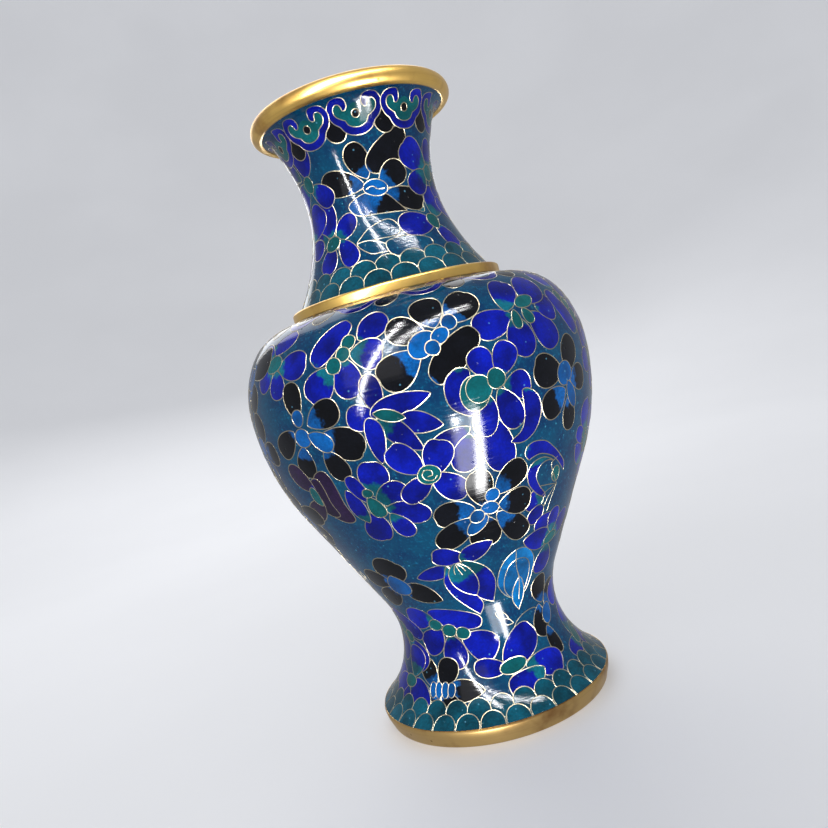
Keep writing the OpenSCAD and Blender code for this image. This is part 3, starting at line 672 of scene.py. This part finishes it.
WIRE_W = 0.12       # half the width of a wire
WIRE_FOOT = 0.3     # how deep a wire goes under the glaze here
RUN_ON = 0.6        # how far an open wire runs past its last point, as a share of half its width
MITER_LEAST = 0.72
SHARP_WIRE = 50     # degrees past which an edge of a wire is sharp
WIRE_EDGE = 0.01    # how far the shoulders of its crown stand out


def ribbons(name, wall, paths, material):
    """Wires as closed ribbons standing in the glaze, with a low crown: paths are (points of (angle, v), closed)."""
    flank = [(-WIRE_W, -WIRE_FOOT), (-WIRE_W, WIRE_EDGE), (-WIRE_W * 0.5, GLAZE * 0.8)]
    section = np.array(flank + [(0, GLAZE)] + mirrored(flank))
    m = len(section)
    verts, faces, count = [], [], 0
    for points, closed in paths:
        p, n = wall.point(points[:, 0], points[:, 1], GLAZE), wall.normal(points[:, 0], points[:, 1])
        ahead = np.roll(p, -1, 0) - p
        if not closed:
            ahead[-1] = ahead[-2]
        ahead /= np.linalg.norm(ahead, axis=1, keepdims=True)
        behind = np.roll(ahead, 1, 0)
        if not closed:
            behind[0] = ahead[0]
        t = ahead + behind
        t /= np.linalg.norm(t, axis=1, keepdims=True) + 1e-9
        miter = 1 / np.clip((t * ahead).sum(1), MITER_LEAST, 1)
        side = np.cross(t, n)
        side /= np.linalg.norm(side, axis=1, keepdims=True)
        if not closed:
            p[0] -= t[0] * WIRE_W * RUN_ON
            p[-1] += t[-1] * WIRE_W * RUN_ON
        ring = (p[:, None] + side[:, None] * section[:, :1] * miter[:, None, None]
                + n[:, None] * section[:, 1:])
        k = len(p)
        verts.append(ring.reshape(-1, 3))
        for i in range(k if closed else k - 1):
            j = (i + 1) % k
            for s in range(m):
                s2 = (s + 1) % m
                faces.append((count + i * m + s, count + i * m + s2, count + j * m + s2, count + j * m + s))
        if not closed:
            faces.append(tuple(count + s for s in reversed(range(m))))
            faces.append(tuple(count + (k - 1) * m + s for s in range(m)))
        count += k * m
    piece = new_piece(name, np.concatenate(verts), faces, material)
    piece.data.set_sharp_from_angle(angle=math.radians(SHARP_WIRE))
    return piece


def thinned(points, closed, least=0.16):
    """Which points to keep so that none crowds the one before it."""
    keep = [0]
    for i in range(1, len(points)):
        if np.hypot(*(points[i] - points[keep[-1]])) >= least:
            keep.append(i)
    if not closed and keep[-1] != len(points) - 1:
        if len(keep) > 1:
            keep[-1] = len(points) - 1
        else:
            keep.append(len(points) - 1)
    return keep


def wire_paths(wall, co, chains):
    paths = []
    for chain in chains:
        closed = chain[0] == chain[-1] and len(chain) > 3
        pts = co[chain[:-1] if closed else chain].copy()
        pts[:, 0] = np.unwrap(pts[:, 0])
        flat = np.stack([pts[:, 0] * wall.radius(pts[:, 1]), pts[:, 1]], 1)
        keep = thinned(flat, closed)
        if len(keep) >= (3 if closed else 2):
            paths.append((pts[keep], closed))
    return paths


def lathe(name, section, material, steps=256, sharp=35, closed=True):
    """Turns a section of (radius, height) round the axis."""
    section = np.asarray(section, float)
    verts, rings = [], []
    for r, z in section:
        if r < 1e-6:
            rings.append([len(verts)])
            verts.append((0, 0, z))
        else:
            rings.append(list(range(len(verts), len(verts) + steps)))
            verts += [(r * math.sin(2 * math.pi * i / steps), -r * math.cos(2 * math.pi * i / steps), z)
                      for i in range(steps)]
    faces = []
    for k in range(len(rings) if closed else len(rings) - 1):
        a, b = rings[k], rings[(k + 1) % len(rings)]
        if len(a) == 1 and len(b) == 1:
            continue
        for i in range(steps):
            j = (i + 1) % steps
            quad = [a[i % len(a)], a[j % len(a)], b[j % len(b)], b[i % len(b)]]
            face = [q for n, q in enumerate(quad) if q not in quad[:n]]
            if len(face) > 2:
                faces.append(face)
    piece = new_piece(name, verts, faces, material)
    piece.data.set_sharp_from_angle(angle=math.radians(sharp))
    return piece


def corner(centre, r, a, b, steps=10):
    """A rounded corner, from angle a to b in degrees, anticlockwise from +r."""
    t = np.radians(np.linspace(a, b, steps))
    return [(centre[0] + r * math.cos(x), centre[1] + r * math.sin(x)) for x in t]


# ---- Materials ----


class Nodes:
    """A short way to write a material's nodes."""

    def __init__(self, name):
        self.mat = bpy.data.materials.new(name)
        self.mat.use_nodes = True
        self.tree = self.mat.node_tree
        self.shader = self.tree.nodes["Principled BSDF"]
        self.place = self.add("ShaderNodeTexCoord").outputs["Object"]

    def add(self, kind, **props):
        node = self.tree.nodes.new(kind)
        for key, value in props.items():
            setattr(node, key, value)
        return node

    def join(self, source, target):
        if hasattr(source, "links"):
            self.tree.links.new(source, target)
        else:
            target.default_value = source

    def stretched(self, x, y, z):
        node = self.add("ShaderNodeMapping")
        node.inputs["Scale"].default_value = (x, y, z)
        self.join(self.place, node.inputs["Vector"])
        return node.outputs["Vector"]

    def noise(self, scale, detail, rough, vector=None):
        node = self.add("ShaderNodeTexNoise")
        self.join(vector or self.place, node.inputs["Vector"])
        for key, value in (("Scale", scale), ("Detail", detail), ("Roughness", rough)):
            node.inputs[key].default_value = value
        return node.outputs["Fac"]

    def specks(self, scale, radius, share):
        """1 inside small round specks, of which only some show."""
        node = self.add("ShaderNodeTexVoronoi")
        self.join(self.place, node.inputs["Vector"])
        node.inputs["Scale"].default_value = scale
        inside = self.ramp(node.outputs["Distance"], radius, radius * 0.4)
        split = self.add("ShaderNodeSeparateColor")
        self.join(node.outputs["Color"], split.inputs[0])
        chosen = self.math("LESS_THAN", split.outputs[0], share)
        return self.times(inside, chosen)

    def map_range(self, value, kind, **ends):
        node = self.add("ShaderNodeMapRange", interpolation_type=kind)
        self.join(value, node.inputs["Value"])
        for key, end in ends.items():
            node.inputs[key.replace("_", " ")].default_value = end
        return node.outputs["Result"]

    def ramp(self, value, low, high):
        """A smooth rise from 0 at low to 1 at high."""
        return self.map_range(value, "SMOOTHSTEP", From_Min=low, From_Max=high)

    def span(self, value, low, high):
        """From 0..1 to low..high."""
        return self.map_range(value, "LINEAR", To_Min=low, To_Max=high)

    def math(self, how, a, b):
        node = self.add("ShaderNodeMath", operation=how)
        self.join(a, node.inputs[0])
        self.join(b, node.inputs[1])
        return node.outputs[0]

    def times(self, a, b):
        return self.math("MULTIPLY", a, b)

    def mix(self, factor, a, b, how="MIX"):
        node = self.add("ShaderNodeMix", data_type="RGBA", blend_type=how)
        self.join(factor, node.inputs["Factor"])
        for value, socket in ((a, node.inputs["A"]), (b, node.inputs["B"])):
            self.join(value if hasattr(value, "links") else (*value, 1.0), socket)
        return node.outputs["Result"]

    def attribute(self, name):
        return self.add("ShaderNodeAttribute", attribute_name=name).outputs["Fac"]

    def bump(self, height, distance, under=None):
        node = self.add("ShaderNodeBump")
        self.join(height, node.inputs["Height"])
        node.inputs["Distance"].default_value = distance
        if under is not None:
            self.join(under, node.inputs["Normal"])
        return node.outputs["Normal"]

    def set(self, **sockets):
        for key, value in sockets.items():
            self.join(value, self.shader.inputs[key.replace("_", " ")])
        return self.mat


ENAMEL_IOR = 1.3    # low, so that dark cells stay dark in a pale room
FADE_WIDTH, FADE_RAGGED = 0.6, 4.6


def polished(m, colour, pit_share, fine, dullest):
    """Finish of ground enamel: faint grinding marks round the vase, a fine waviness, and pits."""
    pits = m.specks(420, 0.17, pit_share)
    marks = m.noise(60, 4, 0.6, m.stretched(0.12, 0.12, 34))
    normal = m.bump(marks, 0.000022)
    normal = m.bump(m.noise(900, 2, 0.5), fine, under=normal)
    normal = m.bump(m.math("SUBTRACT", 1.0, pits), 0.00006, under=normal)
    rough = m.math("ADD", m.span(m.ramp(marks, 0.35, 0.7), 0.05, dullest), m.times(pits, 0.3))
    return m.set(Base_Color=colour, Roughness=rough, Normal=normal, IOR=ENAMEL_IOR)


def enamel(name, deep, light, cloudy, grain):
    """Polished glass enamel: deep colour, lighter where a petal joins its heart, cloudy, grainy and pitted."""
    m = Nodes(name)
    torn = m.times(m.math("SUBTRACT", m.noise(520, 3, 0.6), 0.5), FADE_RAGGED)
    edge = m.math("ADD", m.attribute("fade"), torn)
    colour = m.mix(m.ramp(edge, -FADE_WIDTH, FADE_WIDTH), light, deep)
    shade = m.span(m.attribute("shade"), 0.78, 1.2)
    clouds = m.span(m.ramp(m.noise(150, 3, 0.55), 0.3, 0.7), 1 - cloudy, 1 + cloudy)
    grains = m.span(m.ramp(m.noise(1500, 3, 0.7), 0.32, 0.72), 1 - grain, 1 + grain)
    tone = m.times(m.times(shade, clouds), grains)
    grey = m.add("ShaderNodeCombineColor")
    for i in range(3):
        m.join(tone, grey.inputs[i])
    colour = m.mix(1.0, colour, grey.outputs[0], "MULTIPLY")
    colour = m.mix(m.times(m.specks(650, 0.22, 0.10), 0.4), colour, (0.05, 0.16, 0.24))
    return polished(m, colour, 0.25, 0.000004, 0.12)


def speckled_ground(name, dark, mid, light):
    """Teal ground enamel of crushed glass: patches of two hues, fine light grains, dark grains and pits."""
    m = Nodes(name)
    colour = m.mix(m.ramp(m.noise(110, 4, 0.6), 0.35, 0.66), dark, mid)
    colour = m.mix(m.times(m.ramp(m.noise(1100, 4, 0.75), 0.5, 0.78), 0.75), colour, light)
    colour = m.mix(m.times(m.specks(520, 0.3, 0.3), 0.45), colour, (0.0005, 0.012, 0.02))
    colour = m.mix(m.times(m.specks(610, 0.2, 0.16), 0.6), colour, (0.02, 0.12, 0.17))
    return polished(m, colour, 0.3, 0.000008, 0.13)


def gilt(name, bright, brown, brush, tarnish, dull=0.0):
    """Turned and gilded brass: turning marks round the ring, soft brown clouds, small scratches and dull spots."""
    m = Nodes(name)
    stain = m.times(m.ramp(m.noise(75, 4, 0.6), 0.45, 0.75), tarnish)
    colour = m.mix(stain, bright, brown)
    turning = m.noise(70, 4, 0.65, m.stretched(0.2, 0.2, 30))
    colour = m.mix(m.times(m.ramp(turning, 0.5, 0.75), 0.25), colour, brown)
    spots = m.specks(330, 0.16, 0.2)
    colour = m.mix(m.times(spots, 0.6), colour, (0.12, 0.06, 0.02))
    normal = m.bump(turning, brush)
    normal = m.bump(m.noise(260, 2, 0.5), 0.000012, under=normal)
    rough = m.math("ADD", m.span(m.noise(140, 3, 0.6), 0.24 + dull, 0.4 + dull), m.times(spots, 0.25))
    return m.set(Base_Color=colour, Roughness=rough, Normal=normal, Metallic=1.0)


def wire_metal(name):
    m = Nodes(name)
    colour = m.mix(m.ramp(m.noise(220, 3, 0.6), 0.35, 0.7), (0.46, 0.39, 0.26), (0.28, 0.26, 0.19))
    normal = m.bump(m.noise(60, 4, 0.6, m.stretched(0.12, 0.12, 34)), 0.00002)
    return m.set(Base_Color=colour, Roughness=m.span(m.noise(300, 2, 0.5), 0.22, 0.4), Normal=normal, Metallic=1.0)


def raised_copper(name):
    m = Nodes(name)
    colour = m.mix(m.ramp(m.noise(90, 4, 0.6), 0.4, 0.7), (0.55, 0.26, 0.14), (0.2, 0.08, 0.05))
    normal = m.bump(m.noise(220, 3, 0.6), 0.00008)
    return m.set(Base_Color=colour, Roughness=m.span(m.noise(160, 3, 0.6), 0.35, 0.6), Normal=normal, Metallic=1.0)


def counter_enamel(name, deep, light):
    """Plain enamel, fired but not ground: orange peel, pinholes and cloudy colour."""
    m = Nodes(name)
    colour = m.mix(m.ramp(m.noise(60, 4, 0.6), 0.3, 0.75), deep, light)
    pin = m.specks(300, 0.16, 0.35)
    colour = m.mix(m.times(pin, 0.7), colour, (0.01, 0.02, 0.03))
    normal = m.bump(m.noise(330, 2, 0.5), 0.00012)
    normal = m.bump(m.math("SUBTRACT", 1.0, pin), 0.0001, under=normal)
    return m.set(Base_Color=colour, Roughness=m.span(m.noise(120, 2, 0.5), 0.2, 0.38), Normal=normal, IOR=1.5)


TURQUOISE = (0.0006, 0.032, 0.046)
glaze = {
    "cobalt": enamel("cobalt_enamel_look", (0.0003, 0.0019, 0.078), TURQUOISE, 0.42, 0.18),
    "black": enamel("black_enamel_look", (0.0008, 0.001, 0.0018), (0.0005, 0.026, 0.094), 0.3, 0.3),
    "plum": enamel("plum_enamel_look", (0.005, 0.002, 0.011), (0.002, 0.004, 0.05), 0.3, 0.3),
    "sky": enamel("sky_enamel_look", (0.0004, 0.026, 0.094), (0.0008, 0.040, 0.122), 0.35, 0.15),
    "lake": enamel("lake_enamel_look", (0.0004, 0.034, 0.10), (0.0008, 0.05, 0.14), 0.35, 0.15),
    "scale": enamel("scale_enamel_look", (0.0004, 0.022, 0.035), (0.0007, 0.036, 0.052), 0.4, 0.25),
    "jade": enamel("jade_enamel_look", (0.0004, 0.030, 0.034), (0.0008, 0.04, 0.06), 0.25, 0.15),
    "ground": speckled_ground("ground_enamel_look", (0.0003, 0.009, 0.030), (0.0004, 0.018, 0.040),
                              (0.002, 0.055, 0.10)),
}
wire_look = wire_metal("cloison_wire_look")
gilt_look = gilt("gilt_brass_look", (0.86, 0.55, 0.15), (0.44, 0.21, 0.05), 0.00001, 0.85)
worn_gilt_look = gilt("worn_gilt_look", (0.66, 0.43, 0.16), (0.34, 0.17, 0.06), 0.000022, 1.0, dull=0.06)
copper_look = raised_copper("copper_look")
inside_look = counter_enamel("counter_enamel_look", (0.01, 0.12, 0.18), (0.03, 0.26, 0.32))

# ---- Enamel and wires of the neck and the body ----

FLOWERY = ("flower", "upper", "lower")
# Piece, the colour of its cells, and their zones
GROUPS = [
    ("ground", "ground", ("", "cloud", *FLOWERY)), ("blue_petals", "cobalt", FLOWERY),
    ("black_petals", "black", FLOWERY), ("leaves", "lake", FLOWERY), ("plum_petals", "plum", FLOWERY),
    ("blue_flower_hearts", "jade", FLOWERY), ("black_flower_hearts", "sky", FLOWERY),
    ("cloud_scrolls", "cobalt", ("cloud",)), ("cloud_hearts", "jade", ("cloud",)),
    ("cloud_drops", "black", ("cloud",)), ("scales", "scale", ("scale",)),
]
SLOT_OF = {"lake": "sky", "plum": "black", "scale": "jade"}
WIRES_OF = {"cloud": "cloud_wires", "flower": "flower_wires", "upper": "upper_flower_wires",
            "lower": "lower_flower_wires", "scale": "scale_wires"}
# CAD nodes that are not named after their piece
NODE_OF = {
    "neck_scales": "neck_scale_cells", "body_leaves": "body_black_flower_hearts",
    "body_plum_petals": "body_black_petals", "body_cloud_scrolls": "shoulder_cloud_heads",
    "body_cloud_drops": "shoulder_cloud_drops", "body_scales": "foot_scale_cells",
    "body_cloud_wires": "shoulder_cloud_wires", "body_upper_flower_wires": "upper_flower_wires",
    "body_lower_flower_wires": "lower_flower_wires", "body_scale_wires": "foot_scale_wires",
}


def build_wall(part, cells):
    co, tris, owner = triangulate(cells)
    colour = np.array([cells.list[k]["colour"] if k >= 0 else "ground" for k in owner])
    zone = np.array([cells.list[k]["zone"] if k >= 0 else "" for k in owner])
    for name, look, zones in GROUPS:
        mine = (colour == look) & np.isin(zone, zones)
        if mine.any():
            name = f"{part}_{name}"
            piece = inlay(f"enamel_{name}", cells, co, tris[mine], owner[mine], glaze[look])
            enter(piece, SLOT_OF.get(look, look) + "_enamel", NODE_OF.get(name, name))
    chains = wire_chains(cells, tris, owner)
    for where, name in WIRES_OF.items():
        if where in chains:
            name = f"{part}_{name}"
            paths = wire_paths(cells.wall, co, chains[where])
            paths += [(line, False) for line, there in cells.loose if there == where]
            piece = ribbons(f"enamel_{name}", cells.wall, paths, wire_look)
            enter(piece, "cloison_wire", NODE_OF.get(name, name))


build_wall("neck", neck_cells)
build_wall("body", body_cells)

# ---- Rings, linings and base ----

RIM_ROUND, RIM_MID, RIM_UP, RIM_DOWN, RIM_LIP = 2.1, 177.3, 2.7, 2.3, 1.3
COLLAR_EDGE, COLLAR_ROUND, COLLAR_DISH = 0.15, 0.8, 0.3
FOOT_INNER, FOOT_TREAD_R, FOOT_ROUND, FOOT_DRAFT, FOOT_WALL_Z, FOOT_DROP = 0.4, 33.5, 0.7, 0.25, 3.2, 0.8
FLOOR_EASE = 0.12
BASE_HOLLOW, BASE_HOLLOW_R, BASE_GAP = 0.05, 20, 0.02


def gilt_ring(node, section, look):
    return enter(lathe(f"gilt_{node}", section, look), "gilt_brass", node)


def inside(name, section, node):
    enter(lathe(name, section, inside_look), "counter_enamel", node)


rim_r = reach_of("rim_ring")
neck_top = neck.section(0, LINING_FACE)
rim_seat, rim_back = neck_top[len(neck_top) // 2 - 1], neck_top[len(neck_top) // 2]
rim_bulge = [(rim_r - RIM_ROUND + RIM_ROUND * math.cos(t), RIM_MID + (RIM_UP if t > 0 else RIM_DOWN) * math.sin(t))
             for t in np.linspace(-1.5, math.pi / 2, 28)]
rim_section = [tuple(rim_seat), *rim_bulge,
               *corner((rim_back[0] + RIM_LIP, VASE_H - RIM_LIP), RIM_LIP, 90, 180), tuple(rim_back)]
gilt_ring("rim_ring", rim_section, gilt_look)

collar_r = reach_of("collar_ring")
body_end, neck_start = body.section(0, ENAMEL_T), neck.section(0, ENAMEL_T)
seat, under_seat = body_end[len(body_end) // 2 - 1], body_end[len(body_end) // 2]
flange_r = neck_start[-1][0]
collar_section = [(flange_r, under_seat[1]), tuple(under_seat), tuple(seat),
                  *corner((collar_r - COLLAR_EDGE, seat[1] + COLLAR_EDGE), COLLAR_EDGE, -90, 0, 4),
                  *corner((collar_r - COLLAR_ROUND, COLLAR_TOP - COLLAR_ROUND), COLLAR_ROUND, 0, 90, 9),
                  (neck_start[0][0], COLLAR_TOP), (flange_r, COLLAR_TOP - COLLAR_DISH)]
gilt_ring("collar_ring", collar_section, gilt_look)

foot_r, bore_r = reach_of("foot_ring"), reach_of("base_plate")
foot_wall = body.section(0, LINING_FACE)
foot_seat, foot_back = foot_wall[0], foot_wall[-1]
foot_section = [(bore_r, FOOT_INNER), *corner((bore_r + FOOT_INNER, FOOT_INNER), FOOT_INNER, 180, 270, 5),
                *corner((FOOT_TREAD_R - FOOT_ROUND, FOOT_ROUND), FOOT_ROUND, 270, 350, 7),
                (foot_r - FOOT_DRAFT, FOOT_WALL_Z),
                *corner((foot_r - FOOT_ROUND, foot_seat[1] - FOOT_DROP), FOOT_ROUND, 0, 75, 7),
                tuple(foot_seat), tuple(foot_back), (bore_r, foot_back[1])]
foot_ring = gilt_ring("foot_ring", foot_section, worn_gilt_look)

inside("inner_neck_lining", neck.section(COPPER_BACK, LINING_FACE, 4), "neck_lining")
inside("inner_body_lining", body.section(COPPER_BACK, LINING_FACE, 4), "body_lining")
floor_lo, floor_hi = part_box("floor_lining")
fr, f0, f1 = floor_hi.x / MM, floor_lo.z / MM, floor_hi.z / MM
floor_section = [(0, f0), (fr, f0), *corner((fr - FLOOR_EASE, f1 - FLOOR_EASE), FLOOR_EASE, 0, 90, 4), (0, f1)]
inside("inner_floor_lining", floor_section, "floor_lining")
base_lo, base_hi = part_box("base_enamel")
b0, b1 = base_lo.z / MM, base_hi.z / MM
# Slightly hollow in the middle, and eased where it meets the bore
base_section = [(0, b1), (0, b0 + BASE_HOLLOW), (BASE_HOLLOW_R, b0), (bore_r - 0.6, b0), (bore_r - 0.15, b0 + 0.12),
                (bore_r - BASE_GAP, b0 + 0.3), (bore_r - BASE_GAP, b1)]
inside("base_enamel_disc", base_section, "base_enamel")

for node in ("neck_shell", "upper_body_shell", "lower_body_shell", "foot_shell", "base_plate"):
    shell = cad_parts[node]
    if shell.data.materials:
        for slot in shell.material_slots:
            slot.material = copper_look
    else:
        shell.data.materials.append(copper_look)

# ---- Stage: a pale floor that rises into a round backdrop ----

stage = Nodes("pale_stage_look")
stage_tone = stage.mix(stage.ramp(stage.noise(3, 3, 0.5), 0.3, 0.7), (0.60, 0.605, 0.62), (0.63, 0.635, 0.65))
stage_mat = stage.set(Base_Color=stage_tone, Roughness=0.7, Emission_Color=stage_tone, Emission_Strength=0.42)
BOWL_R, BOWL_RUN, BOWL_RISE = 500, 1300, 1700
FLOOR_GAP = 0.05    # keeps the floor off the flat of the foot ring
bowl = [(0, 0), (BOWL_R, 0)] + [(BOWL_R + BOWL_RUN * math.sin(t), BOWL_RISE * (1 - math.cos(t)))
                                for t in np.linspace(0.05, math.pi / 2, 24)]
bowl_verts, bowl_faces = [(0, 0, 0)], []
STEPS = 128
for r, z in bowl[1:]:
    bowl_verts += [(r * math.cos(2 * math.pi * i / STEPS), r * math.sin(2 * math.pi * i / STEPS), z)
                   for i in range(STEPS)]
for i in range(STEPS):
    j = (i + 1) % STEPS
    bowl_faces.append((0, 1 + i, 1 + j))
    for k in range(len(bowl) - 2):
        a, b = 1 + k * STEPS, 1 + (k + 1) * STEPS
        bowl_faces.append((a + i, b + i, b + j, a + j))
floor = new_piece("pale_floor_and_backdrop", bowl_verts, bowl_faces, stage_mat)
# The low windows stand under the floor's level, as for a vase held up, so the floor neither shades nor mirrors
floor.visible_shadow = False
floor.visible_glossy = False
floor.location.z = -FLOOR_GAP * MM
# They leave out the floor, and the foot ring, which would throw their light on to it
window_lit = bpy.data.collections.new("window_lit")
for left_out in (floor, foot_ring):
    window_lit.objects.link(left_out)
for entry in window_lit.collection_objects:
    entry.light_linking.link_state = "EXCLUDE"
ring_lit = bpy.data.collections.new("ring_lit")
ring_lit.objects.link(foot_ring)

world = bpy.data.worlds.new("soft_room")
bpy.context.scene.world = world
world.use_nodes = True
room = world.node_tree.nodes["Background"].inputs
room["Color"].default_value = (0.9, 0.93, 1.0, 1)
room["Strength"].default_value = 0.42


def seen_from(spot, azimuth, elevation, distance):
    """The place at a distance from a spot, in a direction given as degrees round the vase and up."""
    a, e = math.radians(azimuth), math.radians(elevation)
    way = Vector((math.cos(e) * math.sin(a), -math.cos(e) * math.cos(a), math.sin(e)))
    return Vector(spot) + way * distance


def area_light(name, place, right, spot, width, height, power):
    """An area light at a place, its width along right, facing a spot."""
    data = bpy.data.lights.new(name, "AREA")
    data.shape, data.size, data.size_y, data.energy = "RECTANGLE", width * MM, height * MM, power
    lamp = bpy.data.objects.new(name, data)
    bpy.context.scene.collection.objects.link(lamp)
    back = (place - Vector(spot)).normalized()
    right = (right - back * right.dot(back)).normalized()
    turn = Matrix((right, back.cross(right), back)).transposed().to_4x4()
    lamp.matrix_world = Matrix.Translation(place * MM) @ turn
    lamp.visible_camera = False
    return lamp


def soft_box(name, place, size, power):
    """A square soft box that lights the whole scene."""
    return area_light(name, Vector(place), Vector((0, 0, 1)).cross(Vector(place)), AIM, size, size, power)


def strip(name, spot, start, end, distance, thickness, power, lights=None):
    """A straight strip that a spot on the vase sees from start to end, each (azimuth, elevation)."""
    a, b = seen_from(spot, *start, distance), seen_from(spot, *end, distance)
    lamp = area_light(name, (a + b) / 2, b - a, spot, (b - a).length, thickness, power)
    lamp.light_linking.receiver_collection = lights or window_lit
    return lamp


AIM, BACK = (0, 0, 95), (-10, 49, 80)
FOOT, BELLY, SHOULDER, NECK = (0, -45, 4), (5, -49, 80), (0, -35, 120), (-5, -30, 130)
strip("left_window", BELLY, (20, -20), (26, -60), 1200, 260, 10)
strip("right_window", BELLY, (31, -18), (40, -62), 430, 44, 3.2)
strip("window_glint", BELLY, (16, -23), (18, -23), 430, 15, 0.5)
strip("long_tube", SHOULDER, (-18, 31), (66, 52), 700, 8, 5.0)
strip("left_tube", NECK, (-40, -9), (0, 60), 1450, 14, 32)
strip("ring_glow", FOOT, (-24, -14), (-6, -14), 500, 40, 2.2, ring_lit)
strip("back_window", BACK, (181, 2), (179, 44), 430, 60, 1.0)
soft_box("front_fill", (-350, -700, 500), 600, 1.3)
soft_box("back_fill", (-120, 600, 600), 700, 3.0)

# ---- Camera: level with the middle of the vase, close, and rolled ----

CAM_AT = (0, -235.4, 102.2)
CAM_YAW, CAM_PITCH, CAM_ROLL = -0.926, -3.377, 14.554
CAM_LENS, SENSOR = 34.16, 36.0


def swing(p, q, degrees):
    """Turns two parts of a direction into each other."""
    c, s = math.cos(math.radians(degrees)), math.sin(math.radians(degrees))
    return c * p - s * q, s * p + c * q


def camera_share(across, ahead, up):
    """A world direction as the camera sees it: right, up, forward."""
    across, ahead = swing(across, ahead, CAM_YAW)
    up, ahead = swing(up, ahead, CAM_PITCH)
    across, up = swing(across, up, CAM_ROLL)
    return across, up, ahead


shares = zip(*(camera_share(*axis) for axis in ((1, 0, 0), (0, 1, 0), (0, 0, 1))))
right, up, ahead = (Vector(share) for share in shares)
turn = Matrix((right, up, -ahead)).transposed().to_4x4()
cam_data = bpy.data.cameras.new("view_camera")
cam_data.sensor_width, cam_data.sensor_fit, cam_data.lens = SENSOR, "HORIZONTAL", CAM_LENS
cam_data.clip_start, cam_data.clip_end = 0.01, 20
camera = bpy.data.objects.new("view_camera", cam_data)
bpy.context.scene.collection.objects.link(camera)
camera.matrix_world = Matrix.Translation(Vector(CAM_AT) * MM) @ turn
bpy.context.scene.camera = camera
bpy.context.scene.view_settings.view_transform = "Standard"
